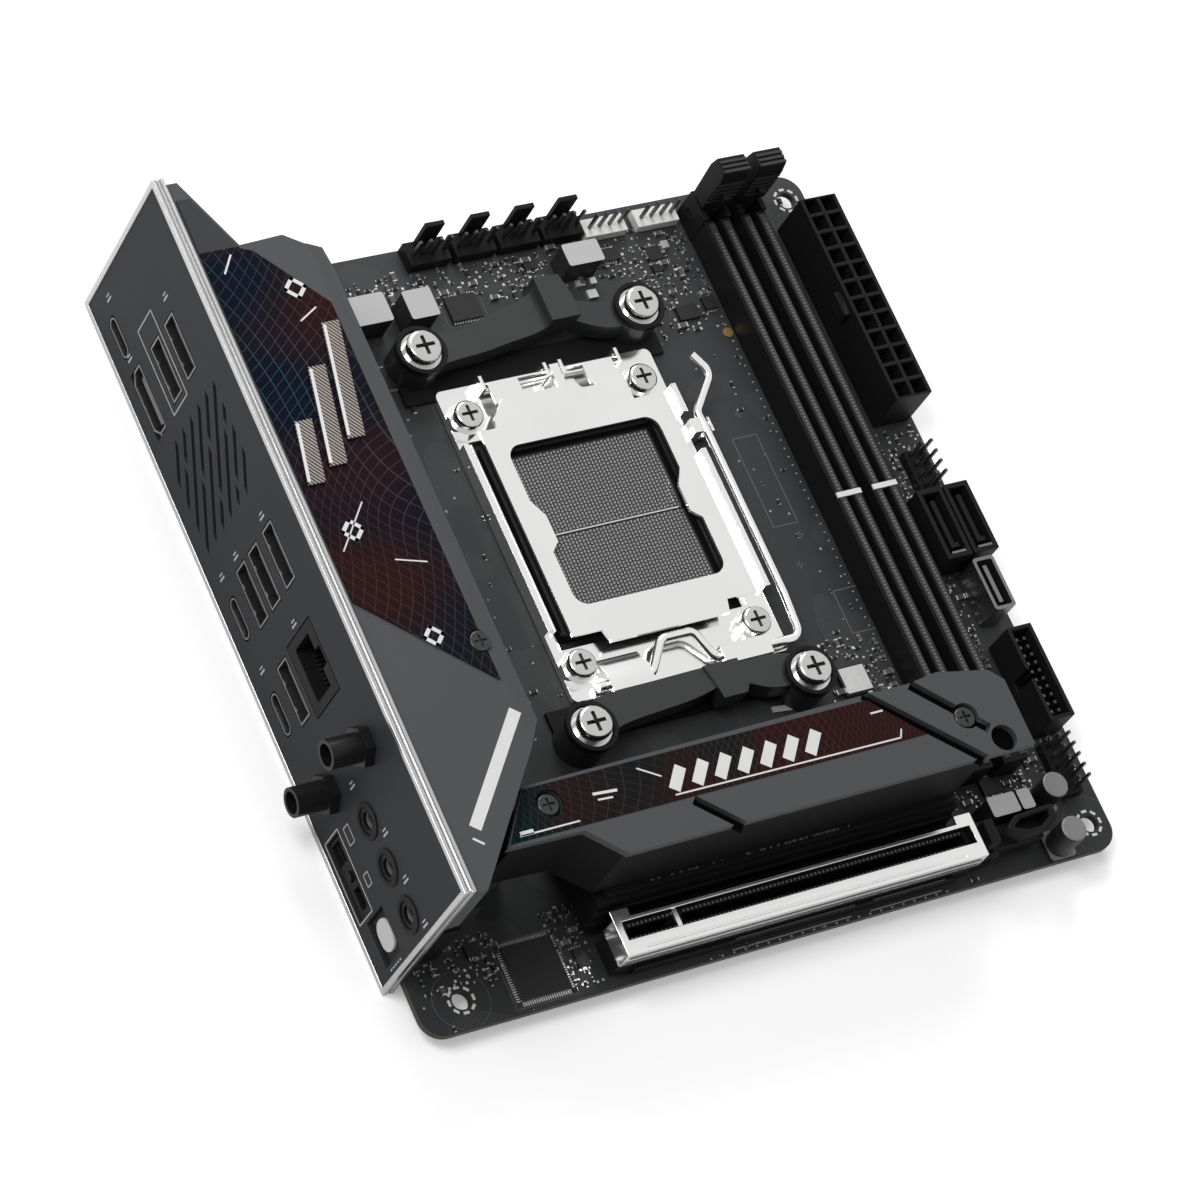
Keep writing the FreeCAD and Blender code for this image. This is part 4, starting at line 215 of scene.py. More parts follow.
def mottle_group():
    """Small changes of tone, gloss and height over a surface."""
    group, start, end = node_group(
        "mottle",
        [("Vector", "NodeSocketVector", None), ("Color", "NodeSocketColor", (0.5, 0.5, 0.5, 1)),
         ("Tone Scale", "NodeSocketFloat", 60.0), ("Tone Spread", "NodeSocketFloat", 0.15),
         ("Grain Scale", "NodeSocketFloat", 3000.0), ("Roughness", "NodeSocketFloat", 0.5),
         ("Roughness Spread", "NodeSocketFloat", 0.08)],
        [("Color", "NodeSocketColor"), ("Roughness", "NodeSocketFloat"), ("Height", "NodeSocketFloat")])
    links = group.links
    tone = noise(group, start.outputs["Vector"], start.outputs["Tone Scale"], 3.0)
    centred = maths(group, "SUBTRACT", tone, 0.5)
    factor = maths(group, "MULTIPLY_ADD", centred, start.outputs["Tone Spread"], 1.0)
    scaled = group.nodes.new("ShaderNodeVectorMath")
    scaled.operation = "SCALE"
    links.new(start.outputs["Color"], scaled.inputs[0])
    links.new(factor, scaled.inputs["Scale"])
    links.new(scaled.outputs[0], end.inputs["Color"])
    gloss = maths(group, "MULTIPLY_ADD", centred, start.outputs["Roughness Spread"],
                  start.outputs["Roughness"])
    links.new(gloss, end.inputs["Roughness"])
    grain = noise(group, start.outputs["Vector"], start.outputs["Grain Scale"])
    links.new(grain, end.inputs["Height"])
    return group


MOTTLE = mottle_group()


def finish(name, color, roughness, metallic=0.0, tone=0.15, tone_scale=60.0, grain=0.02,
           grain_scale=3000.0, gloss_spread=0.08, specular=0.3, pattern=None):
    """A material with slight changes of tone and gloss, and a fine grain in its relief.

    pattern is a function that takes the material's node tree, its Object coordinates and
    its base colour, and gives the colour over the surface."""
    material = bpy.data.materials.new(name)
    material.use_nodes = True
    tree = material.node_tree
    shader = tree.nodes["Principled BSDF"]
    place = tree.nodes.new("ShaderNodeTexCoord")
    mottle = tree.nodes.new("ShaderNodeGroup")
    mottle.node_tree = MOTTLE
    tree.links.new(place.outputs["Object"], mottle.inputs["Vector"])
    mottle.inputs["Color"].default_value = (*color, 1.0)
    mottle.inputs["Tone Scale"].default_value = tone_scale
    mottle.inputs["Tone Spread"].default_value = tone
    mottle.inputs["Grain Scale"].default_value = grain_scale
    mottle.inputs["Roughness"].default_value = roughness
    mottle.inputs["Roughness Spread"].default_value = gloss_spread
    painted = mottle.outputs["Color"]
    if pattern:
        painted = pattern(tree, place, painted)
    tree.links.new(painted, shader.inputs["Base Color"])
    tree.links.new(mottle.outputs["Roughness"], shader.inputs["Roughness"])
    shader.inputs["Metallic"].default_value = metallic
    shader.inputs["Specular IOR Level"].default_value = specular
    bump = tree.nodes.new("ShaderNodeBump")
    bump.inputs["Strength"].default_value = 0.6
    bump.inputs["Distance"].default_value = grain * MM
    tree.links.new(mottle.outputs["Height"], bump.inputs["Height"])
    tree.links.new(bump.outputs["Normal"], shader.inputs["Normal"])
    return material


def facing_up(tree, place):
    """One on faces that look up, zero on the others."""
    return maths(tree, "GREATER_THAN", split(tree, place.outputs["Normal"])["Z"], 0.6)


def dress(node, material):
    """A CAD piece keeps its shape and gets a finish."""
    mesh = frame["nodes"][node].data
    mesh.materials.clear()
    mesh.materials.append(material)


def shade(mesh, angle=35.0):
    for polygon in mesh.polygons:
        polygon.use_smooth = True
    mesh.set_sharp_from_angle(angle=math.radians(angle))


def body_of(node):
    """The moving body that a CAD piece belongs to, or the fixed one."""
    for body, members in frame["record"]["behaviour"]["bodies"].items():
        if node in members:
            return body
    return FIXED


def add_piece(name, mesh, material, on, replaced=()):
    """A new piece that moves with the CAD piece it sits on, with the given material."""
    mesh.materials.clear()
    mesh.materials.append(material)
    piece = placed(name, mesh)
    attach(piece, body_of(on))
    if replaced:
        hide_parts(*replaced)
    return piece


def geometry_tree(name, inputs):
    tree = bpy.data.node_groups.new(name, "GeometryNodeTree")
    face = tree.interface
    face.new_socket("Geometry", in_out="INPUT", socket_type="NodeSocketGeometry")
    for label, kind, value in inputs:
        socket = face.new_socket(label, in_out="INPUT", socket_type=kind)
        if value is not None:
            socket.default_value = value
    face.new_socket("Geometry", in_out="OUTPUT", socket_type="NodeSocketGeometry")
    return tree, tree.nodes.new("NodeGroupInput"), tree.nodes.new("NodeGroupOutput")


def close_tree(tree, shape, start, end):
    """Realize Instances and Set Material, which end every tree."""
    real = tree.nodes.new("GeometryNodeRealizeInstances")
    painted = tree.nodes.new("GeometryNodeSetMaterial")
    tree.links.new(shape, real.inputs[0])
    tree.links.new(real.outputs[0], painted.inputs["Geometry"])
    tree.links.new(start.outputs["Finish"], painted.inputs["Material"])
    tree.links.new(painted.outputs[0], end.inputs[0])


def baked(thing):
    """The mesh that an object's modifiers make; the object itself goes."""
    view = bpy.context.evaluated_depsgraph_get()
    result = bpy.data.meshes.new_from_object(thing.evaluated_get(view))
    thing.modifiers.clear()
    bpy.data.objects.remove(thing)
    return result


def grown(name, mesh, tree, values, material, on, replaced=()):
    """The plain mesh that a geometry tree grows from a starting mesh, as a piece."""
    carrier = placed(name + "_start", mesh)
    modifier = carrier.modifiers.new("grow", "NODES")
    modifier.node_group = tree
    for item in tree.interface.items_tree:
        if item.in_out == "INPUT" and item.name in values:
            modifier[item.identifier] = values[item.name]
        if item.in_out == "INPUT" and item.name == "Finish":
            modifier[item.identifier] = material
    return add_piece(name, baked(carrier), material, on, replaced)


def parts_tree():
    """A block or a short round post on every point, with that point's size and turn."""
    tree, start, end = geometry_tree("parts_on_points", [
        ("Round", "NodeSocketBool", False), ("Sides", "NodeSocketInt", 16),
        ("Finish", "NodeSocketMaterial", None)])
    nodes = tree.nodes
    links = tree.links
    block = nodes.new("GeometryNodeMeshCube")
    post = nodes.new("GeometryNodeMeshCylinder")
    post.inputs["Radius"].default_value = 0.5
    post.inputs["Depth"].default_value = 1.0
    links.new(start.outputs["Sides"], post.inputs["Vertices"])
    pick = nodes.new("GeometryNodeSwitch")
    pick.input_type = "GEOMETRY"
    links.new(start.outputs["Round"], pick.inputs["Switch"])
    links.new(block.outputs["Mesh"], pick.inputs["False"])
    links.new(post.outputs["Mesh"], pick.inputs["True"])
    place = nodes.new("GeometryNodeInstanceOnPoints")
    links.new(start.outputs["Geometry"], place.inputs["Points"])
    links.new(pick.outputs[0], place.inputs["Instance"])
    for label, target in (("size", "Scale"), ("turn", "Rotation")):
        read = nodes.new("GeometryNodeInputNamedAttribute")
        read.data_type = "FLOAT_VECTOR"
        read.inputs["Name"].default_value = label
        links.new(read.outputs["Attribute"], place.inputs[target])
    close_tree(tree, place.outputs[0], start, end)
    return tree


PARTS = parts_tree()


def turn_of(row):
    """A row's turn in radians; a row without one isn't turned."""
    return [math.radians(angle) for angle in (row[2] if len(row) > 2 else (0, 0, 0))]


def parts(name, rows, material, on, round_ones=False, sides=16):
    """Small blocks or posts; a row is a centre and a size in millimetres, and a turn in degrees."""
    mesh = bpy.data.meshes.new(name + "_points")
    mesh.from_pydata([at(*row[0]) for row in rows], [], [])
    size = mesh.attributes.new("size", "FLOAT_VECTOR", "POINT")
    turn = mesh.attributes.new("turn", "FLOAT_VECTOR", "POINT")
    for k, row in enumerate(rows):
        size.data[k].vector = [value * MM for value in row[1]]
        turn.data[k].vector = turn_of(row)
    return grown(name, mesh, PARTS, {"Round": round_ones, "Sides": sides}, material, on)


def slab(x0, x1, y0, y1, z0, z1):
    """A row for parts() from the block's faces."""
    return ((x0 + x1) / 2, (y0 + y1) / 2, (z0 + z1) / 2), (x1 - x0, y1 - y0, z1 - z0)


def line(x0, y0, x1, y1, width, z=0.0, thick=0.04):
    """A row for a thin flat strip between two points."""
    angle = math.degrees(math.atan2(y1 - y0, x1 - x0))
    length = math.hypot(x1 - x0, y1 - y0)
    return ((x0 + x1) / 2, (y0 + y1) / 2, z + thick / 2), (length, width, thick), (0, 0, angle)


def outline(x0, x1, y0, y1, width, z=0.0):
    """Rows for a thin rectangle of four strips."""
    return [line(x0, y0, x1, y0, width, z), line(x0, y1, x1, y1, width, z),
            line(x0, y0, x0, y1, width, z), line(x1, y0, x1, y1, width, z)]


def scatter_tree():
    """Small surface parts, strewn over the starting faces and kept off the larger ones."""
    tree, start, end = geometry_tree("strewn_parts", [
        ("Keep Off", "NodeSocketObject", None), ("Clearance", "NodeSocketFloat", 0.0006),
        ("Spacing", "NodeSocketFloat", 0.0015), ("Density", "NodeSocketFloat", 100000.0),
        ("Seed", "NodeSocketInt", 1), ("Size", "NodeSocketVector", (0.001, 0.0005, 0.0004)),
        ("Finish", "NodeSocketMaterial", None)])
    nodes = tree.nodes
    links = tree.links
    strew = nodes.new("GeometryNodeDistributePointsOnFaces")
    strew.distribute_method = "POISSON"
    links.new(start.outputs["Geometry"], strew.inputs["Mesh"])
    links.new(start.outputs["Spacing"], strew.inputs["Distance Min"])
    links.new(start.outputs["Density"], strew.inputs["Density Max"])
    links.new(start.outputs["Seed"], strew.inputs["Seed"])
    taken = nodes.new("GeometryNodeObjectInfo")
    links.new(start.outputs["Keep Off"], taken.inputs["Object"])
    near = nodes.new("GeometryNodeProximity")
    links.new(taken.outputs["Geometry"], near.inputs[0])
    close = nodes.new("FunctionNodeCompare")
    close.operation = "LESS_THAN"
    links.new(near.outputs["Distance"], close.inputs[0])
    links.new(start.outputs["Clearance"], close.inputs[1])
    kept = nodes.new("GeometryNodeDeleteGeometry")
    links.new(strew.outputs["Points"], kept.inputs["Geometry"])
    links.new(close.outputs["Result"], kept.inputs["Selection"])
    block = nodes.new("GeometryNodeMeshCube")
    raised = nodes.new("GeometryNodeTransform")
    raised.inputs["Translation"].default_value = (0.0, 0.0, 0.5)
    links.new(block.outputs["Mesh"], raised.inputs["Geometry"])
    quarter = nodes.new("FunctionNodeRandomValue")
    quarter.data_type = "INT"
    quarter.inputs[4].default_value = 0
    quarter.inputs[5].default_value = 1
    links.new(start.outputs["Seed"], quarter.inputs["Seed"])
    angle = nodes.new("ShaderNodeMath")
    angle.operation = "MULTIPLY"
    angle.inputs[1].default_value = math.pi / 2
    links.new(quarter.outputs[2], angle.inputs[0])
    turn = nodes.new("ShaderNodeCombineXYZ")
    links.new(angle.outputs[0], turn.inputs["Z"])
    stretch = nodes.new("FunctionNodeRandomValue")
    stretch.inputs[2].default_value = 0.6
    stretch.inputs[3].default_value = 1.5
    links.new(start.outputs["Seed"], stretch.inputs["Seed"])
    grow = nodes.new("ShaderNodeVectorMath")
    grow.operation = "SCALE"
    links.new(start.outputs["Size"], grow.inputs[0])
    links.new(stretch.outputs[1], grow.inputs["Scale"])
    place = nodes.new("GeometryNodeInstanceOnPoints")
    links.new(kept.outputs[0], place.inputs["Points"])
    links.new(raised.outputs[0], place.inputs["Instance"])
    links.new(turn.outputs[0], place.inputs["Rotation"])
    links.new(grow.outputs[0], place.inputs["Scale"])
    close_tree(tree, place.outputs[0], start, end)
    return tree


SCATTER = scatter_tree()


def quads(name, rectangles, z=0.0):
    """Flat rectangles on the board, given as X and Y ranges in millimetres."""
    corners = []
    faces = []
    for x0, x1, y0, y1 in rectangles:
        first = len(corners)
        corners += [at(x0, y0, z), at(x1, y0, z), at(x1, y1, z), at(x0, y1, z)]
        faces.append((first, first + 1, first + 2, first + 3))
    mesh = bpy.data.meshes.new(name)
    mesh.from_pydata(corners, [], faces)
    return mesh


def merged(node):
    """A bmesh of a CAD piece, its loose triangles joined."""
    work = bmesh.new()
    work.from_mesh(frame["nodes"][node].data)
    bmesh.ops.remove_doubles(work, verts=work.verts, dist=2e-6)
    return work


def footprints(limit=3.0):
    """The X and Y ranges of every solid that comes down near the board's top face."""
    found = []
    for node in frame["nodes"]:
        if node == "board":
            continue
        work = merged(node)
        left = set(work.verts)
        while left:
            island = [left.pop()]
            for vert in island:
                for edge in vert.link_edges:
                    other = edge.other_vert(vert)
                    if other in left:
                        left.discard(other)
                        island.append(other)
            low = Vector([min(vert.co[k] for vert in island) for k in range(3)]) - at(0, 0)
            high = Vector([max(vert.co[k] for vert in island) for k in range(3)]) - at(0, 0)
            if low.z < limit * MM and high.z > 0.1 * MM:
                found.append((low.x / MM, high.x / MM, low.y / MM, high.y / MM))
        work.free()
    return found


def traced(tree, place, base):
    """Copper runs under the mask: fine lighter lines in two directions, in patches."""
    spot = split(tree, place.outputs["Object"])
    patches = noise(tree, place.outputs["Object"], 45.0, 1.0)
    across = maths(tree, "ADD", spot["X"], spot["Y"])
    lines = []
    for run, pitch in ((spot["X"], 1500.0), (across, 1300.0)):
        phase = maths(tree, "FRACT", maths(tree, "MULTIPLY", run, pitch))
        lines.append(maths(tree, "GREATER_THAN", phase, 0.55))
    chosen = maths(tree, "GREATER_THAN", patches, 0.5)
    straight = maths(tree, "MULTIPLY", lines[0], chosen)
    slanted = maths(tree, "MULTIPLY", lines[1], maths(tree, "SUBTRACT", 1.0, chosen))
    field = maths(tree, "GREATER_THAN", noise(tree, place.outputs["Object"], 70.0, 0.0), 0.56)
    share = maths(tree, "MULTIPLY", maths(tree, "ADD", straight, slanted), field)
    faint = maths(tree, "MULTIPLY", share, 0.35)
    return mixed(tree, faint, base, (0.075, 0.076, 0.078))


def board_look(tree, place, base):
    """Black mask on the faces with a painted sheen that makes it paler towards the far edge, and glass
    fibre along the cut edges.
    """
    rise = maths(tree, "ABSOLUTE", split(tree, place.outputs["Normal"])["Z"])
    edge = maths(tree, "LESS_THAN", rise, 0.5)
    # Painted sheen: the mask is painted paler towards the far edge, where light glances off it.
    far = ramp(tree, split(tree, place.outputs["Object"])["Y"], at(0, 0).y, at(0, BOARD_SIDE).y, 0.0, 0.3)
    paler = mixed(tree, far, traced(tree, place, base), (0.055, 0.057, 0.060))
    return mixed(tree, edge, paler, (0.040, 0.033, 0.020))


mask = finish("solder_mask", (0.018, 0.019, 0.020), 0.50, tone=0.25, tone_scale=90.0, grain=0.01,
              specular=0.3, pattern=board_look)
silk = finish("silk_print", (0.30, 0.30, 0.30), 0.7, tone=0.1)
dim_silk = finish("dim_print", (0.085, 0.087, 0.09), 0.7, tone=0.1)
tin = finish("bright_tin", (0.62, 0.62, 0.61), 0.35, metallic=0.8, tone=0.2, tone_scale=900.0)
part_black = finish("part_black", (0.012, 0.012, 0.013), 0.5, tone=0.2, tone_scale=500.0)
part_tan = finish("part_tan", (0.080, 0.074, 0.066), 0.5, tone=0.3, tone_scale=900.0)
dress("board", mask)

keep_off = placed("keep_off", quads("keep_off", footprints()))
BUSY = ((32, 136, 137, 164), (121, 136, 40, 60), (153, 160.5, 27, 68), (153, 170, 86, 104),
        (3, 22, 9, 19), (34, 42, 2, 20), (128, 168, 16, 27), (120, 137, 36, 48))
CALM = ((31, 61, 48, 137), (118, 136, 60, 137), (36, 136, 36, 47), (1, 60, 0.5, 12),
        (42, 160, 0.4, 1.9), (154, 169, 158, 168), (60, 118, 46, 60))
SURFACE_PARTS = (
    ("resistors", BUSY, 11, 1.5, 240000, (1.0, 0.5, 0.38), part_black),
    ("resistor_ends", BUSY, 11, 1.5, 240000, (1.35, 0.48, 0.30), tin),
    ("capacitor_chips", BUSY, 23, 2.6, 100000, (1.1, 0.8, 0.7), part_tan),
    ("capacitor_ends", BUSY, 23, 2.6, 100000, (1.6, 0.76, 0.62), tin),
    ("solder_dots", BUSY, 37, 1.1, 360000, (0.42, 0.42, 0.06), tin),
    ("plated_holes", CALM, 41, 3.6, 25000, (0.36, 0.36, 0.05), silk),
    ("calm_resistors", CALM, 53, 5.0, 15000, (1.0, 0.5, 0.38), part_black),
    ("calm_resistor_ends", CALM, 53, 5.0, 15000, (1.35, 0.48, 0.30), tin),
)
for name, zones, seed, spacing, density, size, material in SURFACE_PARTS:
    grown(name, quads(name + "_zones", zones), SCATTER,
          {"Keep Off": keep_off, "Spacing": spacing * MM, "Density": density, "Seed": seed,
           "Size": [value * MM for value in size]}, material, "control_chips")
bpy.data.objects.remove(keep_off)

# Plated rings round the four mounting holes, and a printed circle outside each
HOLES = ((10.16, 6.35), (165.1, 6.35), (33.02, 163.83), (165.1, 163.83))
RING_R = 2.75
CIRCLE_R = 6.2
CORNER_R = 5.0
EDGE_LEFT = 0.4


def around(middle, radius, count, size, height):
    """Rows for parts() set in a circle, each turned to face the middle."""
    rows = []
    for k in range(count):
        angle = 360.0 / count * k
        x = middle[0] + radius * math.cos(math.radians(angle))
        y = middle[1] + radius * math.sin(math.radians(angle))
        rows.append(((x, y, height), size, (0, 0, angle)))
    return rows


def on_board(x, y):
    """Whether a point lies inside the board's rounded outline."""
    inner_x = min(max(x, CORNER_R), BOARD_SIDE - CORNER_R)
    inner_y = min(max(y, CORNER_R), BOARD_SIDE - CORNER_R)
    return math.hypot(x - inner_x, y - inner_y) < CORNER_R - EDGE_LEFT


ring_rows = []
circle_rows = []
for hole in HOLES:
    ring_rows += around(hole, RING_R, 8, (0.6, 1.3, 0.1), 0.05)
    for row in around(hole, CIRCLE_R, 48, (0.14, 0.84, 0.04), 0.02):
        if on_board(*row[0][:2]):
            circle_rows.append(row)
parts("hole_rings", ring_rows, tin, "board")
parts("hole_circles", circle_rows, dim_silk, "board")

# Printed frames, crosses and rules
print_rows = outline(124.8, 131.0, 88.5, 110.5, 0.25) + outline(131.4, 138.0, 60.8, 71.2, 0.3)
print_rows += outline(20.8, 35.2, 1.2, 15.6, 0.2) + outline(72.0, 82.0, 149.6, 157.8, 0.2)
for cross_x, cross_y in ((130.1, 85.5), (126.8, 78.8), (129.0, 116.0)):
    print_rows += [line(cross_x - 0.9, cross_y, cross_x + 0.9, cross_y, 0.3),
                   line(cross_x, cross_y - 0.9, cross_x, cross_y + 0.9, 0.3)]
parts("printed_frames", print_rows, dim_silk, "board")
rule_rows = [line(71.7, 1.0, 101.0, 1.0, 0.25), line(105.7, 1.0, 123.8, 1.0, 0.25),
             line(104.7, 48.6, 110.4, 48.0, 1.3, thick=0.5), line(31.8, 60.0, 31.8, 132.0, 0.12)]
for k in range(22):
    rule_rows.append(line(66.0 + 2.8 * k, 0.45, 66.5 + 2.8 * k, 0.45, 0.4))
for k in range(60):
    rule_rows.append(line(135.9, 26.0 + 2.1 * k, 136.3, 26.0 + 2.1 * k, 0.3))
parts("printed_rules", rule_rows, silk, "board")

# Flat chips with rows of legs: middle, width, depth, height
CHIPS = ((76.8, 153.6, 7.4, 6.0, 0.9), (126.6, 157.2, 3.4, 3.4, 1.0), (126.0, 153.6, 2.4, 1.8, 0.9),
         (116.2, 159.0, 4.0, 3.0, 1.0), (134.4, 143.0, 3.2, 3.2, 0.9), (96.5, 160.5, 3.0, 2.4, 0.8),
         (40.5, 155.5, 4.2, 4.2, 0.9), (52.0, 141.0, 5.0, 5.0, 0.9), (157.0, 62.0, 4.0, 4.0, 0.9),
         (157.0, 96.0, 3.6, 5.0, 0.9), (130.0, 43.0, 4.0, 3.0, 0.9), (16.5, 15.6, 3.0, 3.0, 0.9),
         (38.5, 8.0, 2.6, 4.2, 0.9), (146.0, 20.0, 5.0, 4.0, 0.9), (44.0, 40.5, 4.0, 3.0, 0.8))
chip_rows = []
leg_rows = []
LEG_PITCH = 0.65
for x, y, wide, deep, tall in CHIPS:
    chip_rows.append(slab(x - wide / 2, x + wide / 2, y - deep / 2, y + deep / 2, 0.1, tall))
    legs = int(wide / LEG_PITCH)
    for k in range(legs):
        leg_x = x + (k + 0.5 - legs / 2) * LEG_PITCH
        for side in (-1, 1):
            leg_y = y + side * (deep / 2 + 0.25)
            leg_rows.append(((leg_x, leg_y, 0.16), (0.26, 0.6, 0.3)))
parts("flat_chips", chip_rows, part_black, "control_chips")
# The large control chip has legs on all four sides
low_x, high_x, low_y, high_y = 22.3, 33.7, 2.5, 14.3
LARGE_CHIP_LEGS = 22
for k in range(LARGE_CHIP_LEGS):
    share = (k + 0.5) / LARGE_CHIP_LEGS
    along_x = low_x + (high_x - low_x) * share
    along_y = low_y + (high_y - low_y) * share
    for y in (low_y - 0.5, high_y + 0.5):
        leg_rows.append(((along_x, y, 0.14), (0.24, 1.0, 0.26)))
    for x in (low_x - 0.5, high_x + 0.5):
        leg_rows.append(((x, along_y, 0.14), (1.0, 0.24, 0.26)))
parts("chip_legs", leg_rows, tin, "control_chips")
parts("test_point", [((135.7, 135.3, 0.15), (2.4, 2.4, 0.3))], finish(
    "test_gold", (0.60, 0.42, 0.16), 0.35, metallic=0.9, tone=0.2), "control_chips", True, 24)
parts("silver_parts", [slab(105.0, 106.5, 152.9, 154.4, 0, 0.9), slab(108.6, 110.1, 152.9, 154.4, 0, 0.9),
                       slab(129.3, 131.1, 157.9, 159.7, 0, 0.9), slab(106.6, 109.0, 149.6, 151.6, 0, 0.9),
                       slab(123.2, 129.4, 47.5, 53.3, 0.9, 1.25)], tin, "control_chips")
dress("control_chips", part_black)

# ---- Socket ---------------------------------------------------------------------
# A moulded housing with a field of spring contacts, under a pressed steel frame, a hinged
# load plate and a bent wire lever. The frame is screwed through the board to a back plate.
black_plastic = finish("black_plastic", (0.008, 0.008, 0.009), 0.48, specular=0.12)
steel = finish("polished_steel", (0.95, 0.95, 0.94), 0.16, metallic=1.0, tone=0.06, grain=0.004)
screw_metal = finish("screw_metal", (0.66, 0.66, 0.65), 0.18, metallic=1.0, tone=0.08, grain=0.004)
satin_black = finish("satin_black", (0.016, 0.017, 0.018), 0.30, grain=0.01, specular=0.55)
contact_bed = finish("contact_bed", (0.035, 0.035, 0.036), 0.6)
contact_metal = finish("contact_springs", (0.36, 0.36, 0.36), 0.4, metallic=0.5, tone=0.3,
                       tone_scale=400.0)


SHARP_TURN = math.radians(35.0)
RING_SIDES = 40


def mesh_from(work, name, angle=35.0):
    """A shaded mesh from a bmesh, which is freed."""
    mesh = bpy.data.meshes.new(name)
    work.to_mesh(mesh)
    work.free()
    shade(mesh, angle)
    return mesh


def box_matrix(row):
    """The placing matrix of a parts() row."""
    stretch = Matrix.Diagonal([*[value * MM for value in row[1]], 1.0])
    return Matrix.Translation(at(*row[0])) @ Euler(turn_of(row)).to_matrix().to_4x4() @ stretch


def carve(work, rows):
    """Takes the boxes in rows out of a bmesh, or a round post where a row has a fourth item."""
    mesh = bpy.data.meshes.new("uncarved")
    work.to_mesh(mesh)
    blank = placed("uncarved", mesh)
    tools = bmesh.new()
    for row in rows:
        if len(row) > 3:
            bmesh.ops.create_cone(tools, cap_ends=True, segments=28, radius1=0.5, radius2=0.5,
                                  depth=1.0, matrix=box_matrix(row))
        else:
            bmesh.ops.create_cube(tools, size=1.0, matrix=box_matrix(row))
    tool = placed("carving", mesh_from(tools, "carving"))
    cut = blank.modifiers.new("cut", "BOOLEAN")
    cut.operation = "DIFFERENCE"
    cut.solver = "EXACT"
    cut.object = tool
    result = baked(blank)
    bpy.data.objects.remove(tool)
    work.clear()
    work.from_mesh(result)


def softened(node, width, material, segments=2, grooves=()):
    """A copy of a CAD piece with its outer edges rounded, as moulding and pressing leave them."""
    work = merged(node)
    bmesh.ops.dissolve_limit(work, angle_limit=math.radians(0.8), verts=work.verts,
                             edges=work.edges)
    if grooves:
        carve(work, grooves)
    hard = []
    for edge in work.edges:
        if edge.is_convex and edge.calc_face_angle(0.0) > SHARP_TURN:
            hard.append(edge)
    bmesh.ops.bevel(work, geom=hard, offset=width * MM, segments=segments, profile=0.6,
                    affect="EDGES", clamp_overlap=True)
    bmesh.ops.recalc_face_normals(work, faces=work.faces)
    blank = placed(node + "_rounded", mesh_from(work, node + "_rounded"))
    flat_faces = blank.modifiers.new("flat_faces", "WEIGHTED_NORMAL")
    flat_faces.keep_sharp = True
    return add_piece(node + "_shape", baked(blank), material, node, (node,))


def rings(name, rows, material, on, along="z"):
    """Closed rings; a row is a centre, an inner and an outer radius, and a height."""
    work = bmesh.new()
    for centre, inner, outer, height in rows:
        loops = []
        soft = min(0.12, height / 3, (outer - inner) / 3)
        profile = ((inner, 0), (outer, 0), (outer, height - soft), (outer - soft, height),
                   (inner + soft, height), (inner, height - soft))
        for k in range(RING_SIDES):
            angle = 2 * math.pi * k / RING_SIDES
            loop = []
            for radius, lift in profile:
                flat = (radius * math.cos(angle), radius * math.sin(angle), lift)
                if along == "z":
                    spot = (centre[0] + flat[0], centre[1] + flat[1], centre[2] + lift)
                else:
                    spot = (centre[0] - lift, centre[1] + flat[0], centre[2] + flat[1])
                loop.append(work.verts.new(at(*spot)))
            loops.append(loop)
        for k in range(RING_SIDES):
            first, second = loops[k], loops[(k + 1) % RING_SIDES]
            for j in range(len(profile)):
                following = (j + 1) % len(profile)
                work.faces.new((first[j], second[j], second[following], first[following]))
    bmesh.ops.recalc_face_normals(work, faces=work.faces)
    return add_piece(name, mesh_from(work, name, 30.0), material, on)


def wire_tree():
    """A round wire along straight runs, with every corner bent to one radius."""
    tree, start, end = geometry_tree("bent_wire", [
        ("Wire Radius", "NodeSocketFloat", 0.001), ("Bend Radius", "NodeSocketFloat", 0.003),
        ("Finish", "NodeSocketMaterial", None)])
    nodes = tree.nodes
    links = tree.links
    path = nodes.new("GeometryNodeMeshToCurve")
    bend = nodes.new("GeometryNodeFilletCurve")
    bend.mode = "POLY"
    bend.inputs["Count"].default_value = 8
    bend.inputs["Limit Radius"].default_value = True
    round_wire = nodes.new("GeometryNodeCurvePrimitiveCircle")
    round_wire.inputs["Resolution"].default_value = 20
    sweep = nodes.new("GeometryNodeCurveToMesh")
    sweep.inputs["Fill Caps"].default_value = True
    links.new(start.outputs["Geometry"], path.inputs["Mesh"])
    links.new(path.outputs[0], bend.inputs["Curve"])
    links.new(start.outputs["Bend Radius"], bend.inputs["Radius"])
    links.new(bend.outputs[0], sweep.inputs["Curve"])
    links.new(start.outputs["Wire Radius"], round_wire.inputs["Radius"])
    links.new(round_wire.outputs[0], sweep.inputs["Profile Curve"])
    close_tree(tree, sweep.outputs[0], start, end)
    return tree


for node, material in (("socket_backplate", satin_black), ("socket_housing", black_plastic),
                       ("socket_contacts", contact_bed), ("frame_screws", screw_metal),
                       ("bracket_screws", screw_metal)):
    dress(node, material)
softened("socket_frame", 0.2, steel, 3)
softened("load_plate", 0.3, steel, 3)
LEVER_PATH = ((66.6, 61.8, 3.2), (79.9, 61.8, 3.2), (84.3, 68.3, 4.7), (92.2, 68.3, 4.7),
              (95.6, 61.8, 3.2), (117.0, 61.8, 3.2), (117.0, 71.8, 4.4), (117.0, 113.0, 4.4),
              (116.4, 116.4, 4.8), (122.2, 123.4, 6.4), (121.8, 125.2, 7.0), (119.6, 128.6, 7.6))
path_mesh = bpy.data.meshes.new("lever_path")
path_mesh.from_pydata([at(*spot) for spot in LEVER_PATH],
                      [(k, k + 1) for k in range(len(LEVER_PATH) - 1)], [])
